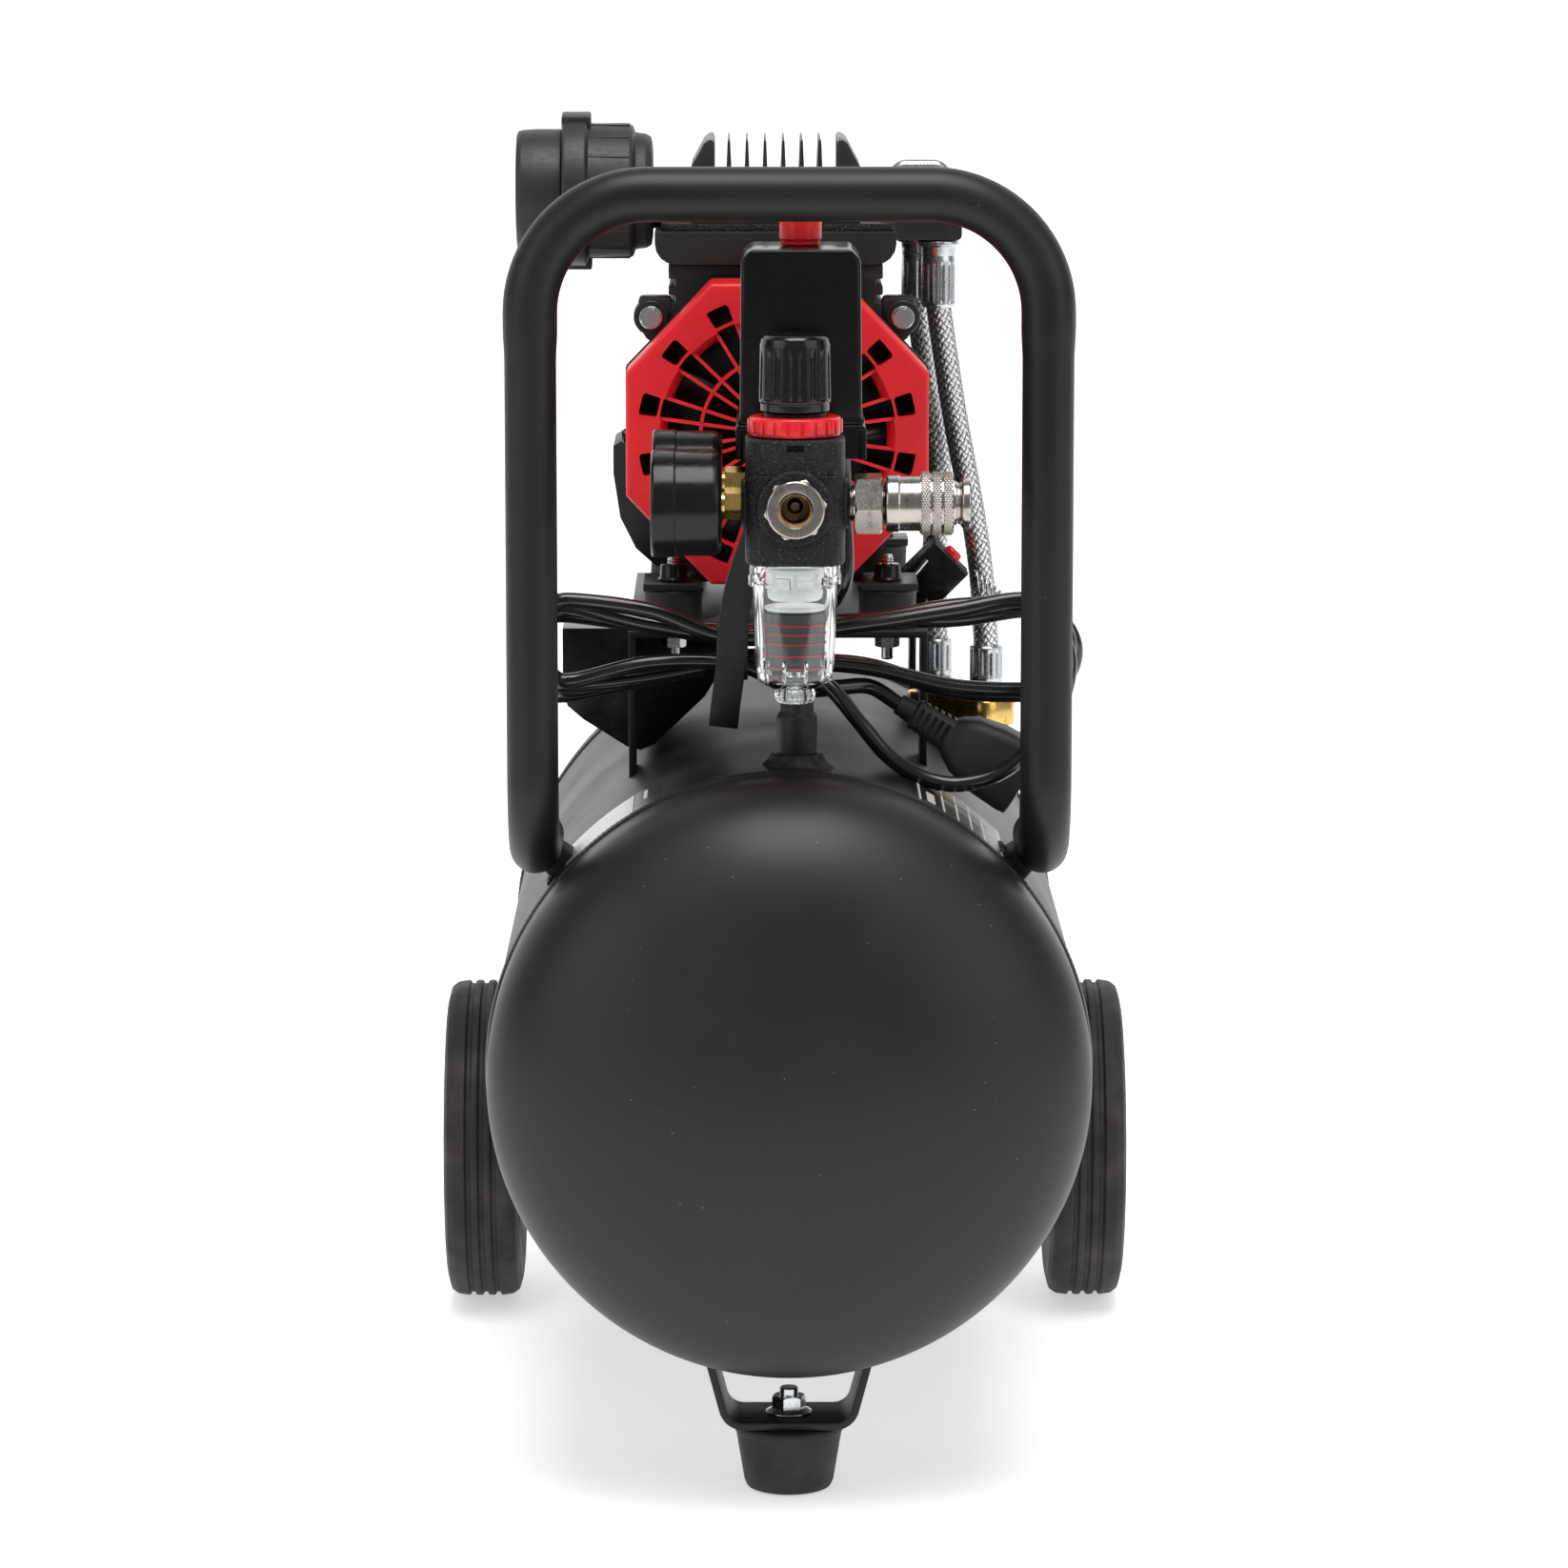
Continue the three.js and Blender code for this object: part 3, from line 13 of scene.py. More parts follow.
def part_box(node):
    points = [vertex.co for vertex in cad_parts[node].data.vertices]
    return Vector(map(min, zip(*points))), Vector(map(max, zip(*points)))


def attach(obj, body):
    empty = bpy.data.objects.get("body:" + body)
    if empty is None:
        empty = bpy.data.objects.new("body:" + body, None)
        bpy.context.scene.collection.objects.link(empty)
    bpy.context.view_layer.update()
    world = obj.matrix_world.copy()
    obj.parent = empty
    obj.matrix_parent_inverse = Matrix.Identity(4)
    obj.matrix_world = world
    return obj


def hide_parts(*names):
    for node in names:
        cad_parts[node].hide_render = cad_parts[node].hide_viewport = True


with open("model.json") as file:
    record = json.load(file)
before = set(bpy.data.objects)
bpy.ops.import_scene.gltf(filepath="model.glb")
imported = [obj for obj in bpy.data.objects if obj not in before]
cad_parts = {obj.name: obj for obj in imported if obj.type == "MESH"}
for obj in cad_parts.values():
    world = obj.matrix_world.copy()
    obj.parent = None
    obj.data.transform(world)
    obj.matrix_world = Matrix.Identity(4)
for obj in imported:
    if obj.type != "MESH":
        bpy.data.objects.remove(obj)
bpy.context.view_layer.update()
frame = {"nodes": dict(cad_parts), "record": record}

MM = 0.001
TAU = 2 * math.pi
AXES = {"x": Vector((1, 0, 0)), "y": Vector((0, 1, 0)), "z": Vector((0, 0, 1))}
# For each axis: the directions that a flat drawing's across, up and depth run along.
DRAWN_ALONG = {
    "x": (AXES["y"], AXES["z"], AXES["x"]),
    "y": (AXES["x"], AXES["z"], AXES["y"]),
    "z": (AXES["x"], AXES["y"], AXES["z"]),
}


# ---- places ------------------------------------------------------------------------------------
class Spot:
    """Where a CAD node is, in millimetres."""

    def __init__(self, node):
        low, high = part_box(node)
        self.low = low / MM
        self.high = high / MM
        self.mid = (self.low + self.high) / 2
        self.size = self.high - self.low


# ---- mesh helpers ------------------------------------------------------------------------------
SHARP = math.radians(38)


def to_piece(name, bm, sharp=SHARP):
    """A new object from a bmesh in millimetres: normals out, smooth, with its sharp edges kept."""
    bmesh.ops.recalc_face_normals(bm, faces=bm.faces)
    bmesh.ops.scale(bm, vec=(MM, MM, MM), verts=bm.verts)
    mesh = bpy.data.meshes.new(name)
    bm.to_mesh(mesh)
    bm.free()
    mesh.shade_smooth()
    mesh.set_sharp_from_angle(angle=sharp)
    piece = bpy.data.objects.new(name, mesh)
    bpy.context.scene.collection.objects.link(piece)
    return piece


def merged(name, parts, sharp=SHARP):
    """Several pieces as one object."""
    bm = bmesh.new()
    for part in parts:
        bm.from_mesh(part.data)
        mesh = part.data
        bpy.data.objects.remove(part)
        bpy.data.meshes.remove(mesh)
    bmesh.ops.scale(bm, vec=(1 / MM,) * 3, verts=bm.verts)
    return to_piece(name, bm, sharp)


def applied(piece):
    """Makes the piece's modifiers part of its mesh."""
    bpy.context.view_layer.update()
    graph = bpy.context.evaluated_depsgraph_get()
    mesh = bpy.data.meshes.new_from_object(piece.evaluated_get(graph))
    old = piece.data
    piece.modifiers.clear()
    piece.data = mesh
    bpy.data.meshes.remove(old)
    mesh.shade_smooth()
    mesh.set_sharp_from_angle(angle=SHARP)
    return piece


def combined(operation, piece, others):
    """Cuts, joins or intersects the piece with other closed pieces, which are used up."""
    for other in others:
        modifier = piece.modifiers.new("solid", "BOOLEAN")
        modifier.operation = operation
        modifier.solver = "EXACT"
        modifier.object = other
    applied(piece)
    for other in others:
        bpy.data.objects.remove(other)
    return piece


def carved(piece, *tools):
    return combined("DIFFERENCE", piece, tools)


def fused(piece, *others):
    return combined("UNION", piece, others)


def edged(piece, width, segments=2, angle=28):
    """Rounds every edge that is sharper than the angle."""
    bm = bmesh.new()
    bm.from_mesh(piece.data)
    bmesh.ops.remove_doubles(bm, verts=bm.verts, dist=1e-6)
    bmesh.ops.dissolve_limit(bm, angle_limit=math.radians(0.6), verts=bm.verts, edges=bm.edges)
    edges = [
        edge for edge in bm.edges
        if len(edge.link_faces) == 2 and edge.calc_face_angle(0) > math.radians(angle)
    ]
    bmesh.ops.bevel(
        bm, geom=edges, offset=width * MM, segments=segments, profile=0.5,
        affect="EDGES", clamp_overlap=True,
    )
    bmesh.ops.recalc_face_normals(bm, faces=bm.faces)
    bm.to_mesh(piece.data)
    bm.free()
    piece.data.shade_smooth()
    piece.data.set_sharp_from_angle(angle=SHARP)
    return piece


def from_node(name, node, width, segments=2):
    """A copy of a CAD node's shape with its edges rounded."""
    mesh = frame["nodes"][node].data.copy()
    mesh.materials.clear()
    piece = bpy.data.objects.new(name, mesh)
    bpy.context.scene.collection.objects.link(piece)
    return edged(piece, width, segments)


def rounded_off(points, radius, steps=3, closed=True):
    """A polyline with its corners rounded. A corner keeps sharp where its sides are too short."""
    corners = [Vector(point) for point in points]
    count = len(corners)
    result = []
    for i, corner in enumerate(corners):
        if not closed and i in (0, count - 1):
            result.append(corner)
            continue
        before = corners[i - 1] - corner
        after = corners[(i + 1) % count] - corner
        reach = min(radius, 0.45 * before.length, 0.45 * after.length)
        start = corner + before.normalized() * reach
        end = corner + after.normalized() * reach
        for step in range(steps + 1):
            u = step / steps
            result.append(start * (1 - u) ** 2 + corner * 2 * u * (1 - u) + end * u ** 2)
    return [tuple(point) for point in result]


def skinned(bm, rings, capped=True):
    """Faces between rings of equally many corners, and over the first and last ring."""
    count = len(rings[0])
    for first, second in zip(rings, rings[1:]):
        for k in range(count):
            after = (k + 1) % count
            bm.faces.new((first[k], first[after], second[after], second[k]))
    if capped:
        bm.faces.new(rings[0])
        bm.faces.new(rings[-1])


def turned(piece, centre, angle, axis="Z"):
    """Turns a piece that was drawn round the origin about an axis, and moves it to its centre."""
    piece.data.transform(Matrix.Translation(Vector(centre) * MM) @ Matrix.Rotation(angle, 4, axis))
    return piece


def around(count, draw, centre, axis="Z", offset=0.0):
    """Copies of what draw() makes, evenly round a centre."""
    return [turned(draw(), centre, TAU * i / count + offset, axis) for i in range(count)]


def lathe(name, profile, axis="z", centre=(0, 0, 0), turns=72, ripple=None, soft=0.0, start=0.0):
    """A round body. Profile points are (radius, along); a profile that leaves the axis closes on itself.

    ripple(angle, along) is added to each radius, and soft rounds the profile's corners.
    """
    on_axis = profile[0][0] == 0 and profile[-1][0] == 0
    if soft:
        profile = rounded_off(profile, soft, closed=not on_axis)
    across, up, depth = DRAWN_ALONG[axis]
    centre = Vector(centre)
    bm = bmesh.new()
    rings = []
    for radius, along in profile:
        middle = centre + depth * along
        if radius < 1e-6:
            rings.append([bm.verts.new(middle)])
            continue
        ring = []
        for turn in range(turns):
            angle = start + TAU * turn / turns
            reach = radius + (ripple(angle, along) if ripple else 0)
            ring.append(bm.verts.new(
                middle + across * (reach * math.cos(angle)) + up * (reach * math.sin(angle))
            ))
        rings.append(ring)
    pairs = list(zip(rings, rings[1:]))
    if not on_axis:
        pairs.append((rings[-1], rings[0]))
    for first, second in pairs:
        for turn in range(turns):
            after = (turn + 1) % turns
            if len(first) == 1 and len(second) == 1:
                break
            if len(first) == 1:
                bm.faces.new((first[0], second[turn], second[after]))
            elif len(second) == 1:
                bm.faces.new((first[turn], first[after], second[0]))
            else:
                bm.faces.new((first[turn], first[after], second[after], second[turn]))
    return to_piece(name, bm)


def rod(name, radius, start, end, axis="z", centre=(0, 0, 0), turns=48, soft=0.0):
    """A plain round bar between two places on its axis. Named "tool", it is what cuts a hole."""
    return lathe(name, [(0, start), (radius, start), (radius, end), (0, end)], axis, centre, turns, soft=soft)


def prism(name, outline, axis, start, end, centre=(0, 0, 0), edge=0.0, segments=2):
    """An outline of (across, up) points carried along an axis, with its edges rounded."""
    across, up, depth = DRAWN_ALONG[axis]
    centre = Vector(centre)
    bm = bmesh.new()
    near = [bm.verts.new(centre + across * a + up * b + depth * start) for a, b in outline]
    far = [bm.verts.new(centre + across * a + up * b + depth * end) for a, b in outline]
    bm.faces.new(near)
    bm.faces.new(far[::-1])
    for i in range(len(outline)):
        after = (i + 1) % len(outline)
        bm.faces.new((near[i], far[i], far[after], near[after]))
    piece = to_piece(name, bm)
    return edged(piece, edge, segments) if edge else piece


def box(name, x, y, z, edge=0.0, corner=0.0, axis="y", segments=2):
    """A block between pairs of limits, with rounded corners about one axis and rounded edges."""
    limits = {"x": (y, z, x), "y": (x, z, y), "z": (x, y, z)}[axis]
    (a0, a1), (b0, b1), (d0, d1) = limits
    outline = [(a0, b0), (a1, b0), (a1, b1), (a0, b1)]
    if corner:
        outline = arc_corners(outline, corner)
    return prism(name, outline, axis, d0, d1, edge=edge, segments=segments)


def arc_corners(outline, radius, steps=6):
    """A convex outline with true arcs at its corners."""
    corners = [Vector(point) for point in outline]
    result = []
    for i, corner in enumerate(corners):
        before = (corners[i - 1] - corner).normalized()
        after = (corners[(i + 1) % len(corners)] - corner).normalized()
        half = before.angle(after) / 2
        reach = radius / math.tan(half)
        centre = corner + (before + after).normalized() * (radius / math.sin(half))
        first = corner + before * reach - centre
        last = corner + after * reach - centre
        swing = first.angle_signed(last)
        for step in range(steps + 1):
            turn = Matrix.Rotation(-swing * step / steps, 2)
            result.append(tuple(centre + turn @ first))
    return result


def hexagon(name, radius, start, end, axis="z", centre=(0, 0, 0), chamfer=1.0, turn=0.0):
    """A six-sided nut or bolt head with its corners turned off. radius is to the corners."""
    body = lathe(name, [(0, start), (radius, start), (radius, end), (0, end)], axis, centre, 6, start=turn)
    cone = [
        (0, start), (radius * 0.9, start), (radius * 1.01, start + chamfer * 0.6),
        (radius * 1.01, end - chamfer * 0.6), (radius * 0.9, end), (0, end),
    ]
    return combined("INTERSECT", body, [lathe("tool", cone, axis, centre, 48)])


def spline(points, spacing):
    """A smooth path through the points, in even steps."""
    knots = [Vector(point) for point in points]
    knots = [2 * knots[0] - knots[1]] + knots + [2 * knots[-1] - knots[-2]]
    fine = []
    for i in range(1, len(knots) - 2):
        a, b, c, d = knots[i - 1:i + 3]
        steps = max(4, int((c - b).length / 0.5))
        for step in range(steps):
            u = step / steps
            fine.append(0.5 * (
                2 * b + (c - a) * u + (2 * a - 5 * b + 4 * c - d) * u ** 2
                + (3 * b - a - 3 * c + d) * u ** 3
            ))
    fine.append(knots[-2])
    return evenly(fine, spacing)


def evenly(points, spacing):
    """The same path in even steps of about this length."""
    lengths = [0.0]
    for first, second in zip(points, points[1:]):
        lengths.append(lengths[-1] + (second - first).length)
    count = max(2, round(lengths[-1] / spacing))
    result = []
    at = 0
    for step in range(count + 1):
        target = lengths[-1] * step / count
        while at < len(points) - 2 and lengths[at + 1] < target:
            at += 1
        span = lengths[at + 1] - lengths[at]
        share = (target - lengths[at]) / span if span else 0
        result.append(points[at].lerp(points[at + 1], min(1.0, share)))
    return result


def with_bends(corners, radii, step=2.0):
    """Straight runs between the corners, each corner turned with its radius."""
    points = [Vector(corner) for corner in corners]
    result = [points[0]]
    for i in range(1, len(points) - 1):
        into = (points[i] - points[i - 1]).normalized()
        out = (points[i + 1] - points[i]).normalized()
        angle = into.angle(out)
        radius = radii[i - 1]
        inward = (out - into * into.dot(out)).normalized()
        first = points[i] - into * (radius * math.tan(angle / 2))
        centre = first + inward * radius
        steps = max(4, round(radius * angle / step))
        for k in range(steps + 1):
            turn = angle * k / steps
            result.append(centre - inward * (radius * math.cos(turn)) + into * (radius * math.sin(turn)))
    result.append(points[-1])
    return result


def frames_along(points, closed=False):
    """Directions across a path that turn with it and don't twist: a list of (tangent, side, up)."""
    count = len(points)
    tangents = []
    for i in range(count):
        before = points[i - 1] if i or closed else points[0]
        after = points[(i + 1) % count] if i < count - 1 or closed else points[-1]
        tangents.append((after - before).normalized())
    side = tangents[0].orthogonal().normalized()
    result = []
    for tangent in tangents:
        side = (side - tangent * side.dot(tangent)).normalized()
        result.append((tangent, side, tangent.cross(side)))
    return result


def sweep(name, points, radius, sides=24, round_ends=0.0):
    """A round bar along a path. radius is a number or a function of (step, length so far, angle)."""
    points = [Vector(point) for point in points]
    reach = radius if callable(radius) else (lambda step, run, angle: radius)
    bm = bmesh.new()
    rings = []
    run = 0.0
    ways = frames_along(points)
    for step, (point, (tangent, side, up)) in enumerate(zip(points, ways)):
        if step:
            run += (point - points[step - 1]).length
        ring = []
        for k in range(sides):
            angle = TAU * k / sides
            r = reach(step, run, angle)
            ring.append(bm.verts.new(point + side * (r * math.cos(angle)) + up * (r * math.sin(angle))))
        rings.append(ring)
    if round_ends:
        first_end, last_end = (
            [bm.verts.new(point + tangent * reach + (corner.co - point) * 0.72) for corner in ring]
            for ring, point, (tangent, _, _), reach in (
                (rings[0], points[0], ways[0], -round_ends), (rings[-1], points[-1], ways[-1], round_ends),
            )
        )
        rings = [first_end, *rings, last_end]
    skinned(bm, rings)
    return to_piece(name, bm)


def strip(name, points, width, thickness, side_of, edge):
    """A flat strip along a path. side_of(tangent) is the direction that its width runs in."""
    points = [Vector(point) for point in points]
    bm = bmesh.new()
    rings = []
    for point, (tangent, _, _) in zip(points, frames_along(points)):
        side = side_of(tangent)
        across = side * (width / 2)
        deep = tangent.cross(side).normalized() * (thickness / 2)
        rings.append([
            bm.verts.new(point + across * a + deep * b) for a, b in ((-1, -1), (1, -1), (1, 1), (-1, 1))
        ])
    skinned(bm, rings)
    return edged(to_piece(name, bm), edge)


# ---- camera ------------------------------------------------------------------------------------
CAMERA = {"place": (-0.016, -2.7068, 0.6925), "down": 0.1539, "right": 0.0055, "lens": 142.15}


def make_camera():
    """The photo's viewpoint."""
    data = bpy.data.cameras.new("camera")
    data.lens = CAMERA["lens"]
    data.sensor_width = 36
    data.clip_end = 60
    camera = bpy.data.objects.new("camera", data)
    camera.location = CAMERA["place"]
    camera.rotation_euler = (math.pi / 2 - CAMERA["down"], 0, -CAMERA["right"])
    bpy.context.scene.collection.objects.link(camera)
    bpy.context.scene.camera = camera


make_camera()


# ---- materials ---------------------------------------------------------------------------------
class Nodes:
    """Builds one procedural material round a Principled shader. Positions are in metres."""

    def __init__(self, name, roughness, metallic=0.0, **constants):
        self.material = bpy.data.materials.new(name)
        self.material.use_nodes = True
        self.tree = self.material.node_tree
        self.shader = self.tree.nodes["Principled BSDF"]
        self.shader.inputs["Roughness"].default_value = roughness
        self.shader.inputs["Metallic"].default_value = metallic
        for socket, value in constants.items():
            self.shader.inputs[socket.replace("_", " ")].default_value = value
        self.place = self.tree.nodes.new("ShaderNodeTexCoord").outputs["Object"]
        self.normal = None

    def link(self, source, target):
        self.tree.links.new(source, target)

    def stretched(self, x, y, z):
        """The place, with each axis scaled, for grain that runs one way."""
        node = self.tree.nodes.new("ShaderNodeMapping")
        node.inputs["Scale"].default_value = (x, y, z)
        self.link(self.place, node.inputs["Vector"])
        return node.outputs["Vector"]

    def noise(self, size, detail=3.0, place=None):
        """Noise with features about this size, in millimetres."""
        node = self.tree.nodes.new("ShaderNodeTexNoise")
        node.inputs["Scale"].default_value = 1 / (size * MM)
        node.inputs["Detail"].default_value = detail
        self.link(place or self.place, node.inputs["Vector"])
        return node.outputs["Fac"]

    def spots(self, spacing, radius):
        """1 inside small round spots that lie about this far apart, 0 elsewhere."""
        node = self.tree.nodes.new("ShaderNodeTexVoronoi")
        node.inputs["Scale"].default_value = 1 / (spacing * MM)
        self.link(self.place, node.inputs["Vector"])
        return self.ramp(node.outputs["Distance"], radius / spacing, 0.6 * radius / spacing)

    def ramp(self, value, low, high, to_low=0.0, to_high=1.0):
        """Maps low..high of a value to to_low..to_high, and holds it outside."""
        node = self.tree.nodes.new("ShaderNodeMapRange")
        for socket, number in (
            ("From Min", low), ("From Max", high), ("To Min", to_low), ("To Max", to_high),
        ):
            node.inputs[socket].default_value = number
        self.link(value, node.inputs["Value"])
        return node.outputs["Result"]

    def product(self, first, second):
        node = self.tree.nodes.new("ShaderNodeMath")
        node.operation = "MULTIPLY"
        self.link(first, node.inputs[0])
        self.link(second, node.inputs[1])
        return node.outputs[0]

    def mixed(self, share, first, second):
        """A colour between two, each a tuple or a socket."""
        node = self.tree.nodes.new("ShaderNodeMix")
        node.data_type = "RGBA"
        self.link(share, node.inputs["Factor"])
        for socket, value in ((node.inputs[6], first), (node.inputs[7], second)):
            if isinstance(value, tuple):
                socket.default_value = (*value, 1)
            else:
                self.link(value, socket)
        return node.outputs[2]

    def colour(self, value):
        self.link(value, self.shader.inputs["Base Color"])
        return self

    def roughness(self, value):
        self.link(value, self.shader.inputs["Roughness"])
        return self

    def bump(self, height, strength, depth):
        """Adds relief of about this depth, in millimetres, on top of what is there."""
        node = self.tree.nodes.new("ShaderNodeBump")
        node.inputs["Strength"].default_value = strength
        node.inputs["Distance"].default_value = depth * MM
        self.link(height, node.inputs["Height"])
        if self.normal:
            self.link(self.normal, node.inputs["Normal"])
        self.normal = node.outputs["Normal"]
        self.link(self.normal, self.shader.inputs["Normal"])
        return self

    def painted(self, name):
        """A value stored on the mesh's points."""
        node = self.tree.nodes.new("ShaderNodeAttribute")
        node.attribute_name = name
        return node.outputs["Fac"]


def shade(colour, factor):
    return tuple(min(1.0, part * factor) for part in colour)


def coated(name, colour, roughness, orange_peel, dust, **constants):
    """Powder coat: orange peel, slow patches of gloss and a few specks of pale dust."""
    m = Nodes(name, roughness, **constants)
    patches = m.noise(60, 4)
    base = m.mixed(m.ramp(patches, 0.35, 0.65), shade(colour, 0.85), shade(colour, 1.2))
    specks = m.product(m.spots(5.5, 0.28), m.ramp(m.noise(24, 2), 0.5, 0.6, 0, dust))
    m.colour(m.mixed(specks, base, (0.32, 0.31, 0.29)))
    m.roughness(m.ramp(patches, 0.3, 0.7, roughness - 0.04, roughness + 0.05))
    m.bump(m.noise(1.6, 2), orange_peel, 0.05)
    return m.material


def cast(name, colour, roughness, grain=0.5, depth=0.12):
    """Painted die casting: fine sand in the surface and worn, paler high spots."""
    m = Nodes(name, roughness, Specular_IOR_Level=0.38)
    sand = m.noise(0.55, 4)
    wear = m.product(m.ramp(sand, 0.62, 0.75), m.ramp(m.noise(14, 3), 0.5, 0.68))
    m.colour(m.mixed(wear, colour, shade(colour, 5)))
    m.roughness(m.ramp(m.noise(20), 0.3, 0.7, roughness - 0.06, roughness + 0.08))
    m.bump(sand, grain, depth)
    return m.material


def moulded(name, colour, roughness, grain=0.12, **constants):
    """Moulded plastic: a fine spark-eroded grain, faint flow marks and handling marks."""
    m = Nodes(name, roughness, **constants)
    flow = m.noise(35, 3, m.stretched(1, 1, 0.3))
    m.colour(m.mixed(m.ramp(flow, 0.3, 0.7), shade(colour, 0.88), shade(colour, 1.12)))
    marks = m.noise(3.5, 5, m.stretched(1, 4, 1))
    m.roughness(m.ramp(marks, 0.35, 0.7, roughness - 0.05, roughness + 0.08))
    m.bump(m.noise(0.45, 2), grain, 0.05)
    return m.material


def sand_textured(name, colour):
    """Coarse sand texture, with painted glints: pale specks in the colour where grains would catch the light."""
    m = Nodes(name, 0.42, Specular_IOR_Level=0.24)
    grains = m.noise(0.9, 2)
    # Painted highlights: pale specks mixed into the colour as glints on the grains.
    painted_glints = m.product(m.spots(1.3, 0.3), m.ramp(m.noise(3, 2), 0.45, 0.55))
    m.colour(m.mixed(painted_glints, colour, (0.12, 0.12, 0.12)))
    m.roughness(m.ramp(grains, 0.4, 0.65, 0.5, 0.26))
    m.bump(m.ramp(grains, 0.42, 0.66), 0.8, 0.3)
    return m.material


def plated(name, colour, roughness, dark, wear=0.55, **constants):
    """Plated metal: fine turning lines, small scratches and dull, darker patches."""
    m = Nodes(name, roughness, 1.0, **constants)
    stain = m.ramp(m.noise(5, 5), wear, wear + 0.22)
    m.colour(m.mixed(stain, colour, dark))
    scratch = m.noise(1.2, 6, m.stretched(6, 1, 1))
    m.roughness(m.ramp(scratch, 0.3, 0.75, roughness * 0.7, roughness * 1.9))
    m.bump(m.noise(0.5, 3, m.stretched(5, 1, 1)), 0.08, 0.04)
    return m.material


def braided(name):
    """Steel wire braid: the steel's colour over the crowns and painted shade, near black, between them, as the
    mesh stores it.
    """
    m = Nodes(name, 0.3, 1.0)
    crown = m.painted("weave")
    # Painted shade: where the wires sink between the crowns the colour goes near black.
    m.colour(m.mixed(m.ramp(crown, 0.25, 0.8), (0.03, 0.03, 0.03), (0.72, 0.72, 0.72)))
    m.roughness(m.ramp(m.noise(1.5, 4), 0.3, 0.7, 0.22, 0.42))
    m.bump(m.noise(0.22, 2), 0.25, 0.06)
    return m.material


def rubber(name, colour, roughness=0.72, dust=0.25):
    """Moulded rubber: matt, faintly dusty, with a fine skin."""
    m = Nodes(name, roughness, Specular_IOR_Level=0.35)
    patches = m.noise(18, 5)
    m.colour(m.mixed(m.ramp(patches, 0.45, 0.8, 0, dust), colour, (0.09, 0.08, 0.075)))
    m.roughness(m.ramp(patches, 0.3, 0.7, roughness + 0.06, roughness - 0.08))
    m.bump(m.noise(0.6, 4), 0.2, 0.06)
    return m.material


def clear(name, tint, roughness=0.02):
    """Clear polycarbonate with faint haze marks."""
    m = Nodes(name, roughness, Transmission_Weight=1.0, IOR=1.49)
    m.colour(m.mixed(m.ramp(m.noise(6, 4), 0.4, 0.8), tint, shade(tint, 0.9)))
    m.roughness(m.ramp(m.noise(4, 5), 0.45, 0.8, roughness, roughness + 0.1))
    m.bump(m.noise(9, 2), 0.05, 0.1)
    return m.material


def sheathed(name, colour):
    """Glossy PVC: a little soft, with long faint ripples from the extruder."""
    m = Nodes(name, 0.2, Coat_Weight=0.3, Coat_Roughness=0.12)
    m.colour(m.mixed(m.ramp(m.noise(12, 3), 0.35, 0.7), colour, shade(colour, 1.7)))
    m.roughness(m.ramp(m.noise(7, 4), 0.3, 0.7, 0.14, 0.24))
    m.bump(m.noise(3, 2), 0.04, 0.1)
    return m.material


def laminated(name, colour):
    """Stacked steel sheets of a motor core."""
    m = Nodes(name, 0.4, 1.0)
    sheets = m.noise(1.0, 1, m.stretched(0.05, 1, 0.05))
    m.colour(m.mixed(sheets, shade(colour, 0.6), shade(colour, 1.2)))
    m.bump(sheets, 0.4, 0.2)
    return m.material


BLACK = (0.010, 0.010, 0.0108)
MATERIALS = {
    "tank_paint": coated("tank_paint", (0.0100, 0.0096, 0.0097), 0.42, 0.3, 0.8, Specular_IOR_Level=0.32),
    "frame_paint": coated("frame_paint", (0.0088, 0.0088, 0.0092), 0.42, 0.12, 0.35, Specular_IOR_Level=0.30),
    "casting": cast("casting", BLACK, 0.42),
    "head_metal": cast("head_metal", (0.020, 0.020, 0.020), 0.34, 0.35),
    "grille_red": moulded("grille_red", (0.66, 0.008, 0.014), 0.42, Subsurface_Weight=0.08),
    "knob_red": moulded("knob_red", (0.68, 0.010, 0.016), 0.3, Subsurface_Weight=0.08),
    "black_plastic": moulded("black_plastic", (0.0056, 0.0056, 0.0060), 0.2, 0.06, Specular_IOR_Level=0.28),
    "filter_plastic": moulded("filter_plastic", (0.018, 0.0185, 0.0195), 0.46, 0.3, Specular_IOR_Level=0.4),
    "regulator_black": sand_textured("regulator_black", (0.006, 0.006, 0.006)),
    "knob_black": moulded("knob_black", (0.0045, 0.0045, 0.0045), 0.16, 0.05, Specular_IOR_Level=0.42),
    "rubber": rubber("rubber", (0.012, 0.0118, 0.0118), 0.6),
    "tread": rubber("tread", (0.017, 0.0145, 0.0135), 0.66, 0.35),
    "zinc_steel": plated("zinc_steel", (0.58, 0.60, 0.62), 0.2, (0.42, 0.42, 0.40)),
    "motor_steel": laminated("motor_steel", (0.42, 0.41, 0.40)),
    "rod_alloy": cast("rod_alloy", (0.45, 0.45, 0.45), 0.4, 0.3),
    "braid": braided("braid"),
    "nickel": plated("nickel", (0.43, 0.40, 0.365), 0.17, (0.20, 0.17, 0.14)),
    "brass": plated("brass", (0.76, 0.50, 0.15), 0.2, (0.34, 0.20, 0.06)),
    "clear": clear("clear", (0.95, 0.97, 0.97)),
    "pointer_red": moulded("pointer_red", (0.62, 0.02, 0.02), 0.4),
    "cable_pvc": sheathed("cable_pvc", (0.0065, 0.0065, 0.0068)),
}
MATERIALS["rod_alloy"].node_tree.nodes["Principled BSDF"].inputs["Metallic"].default_value = 1.0

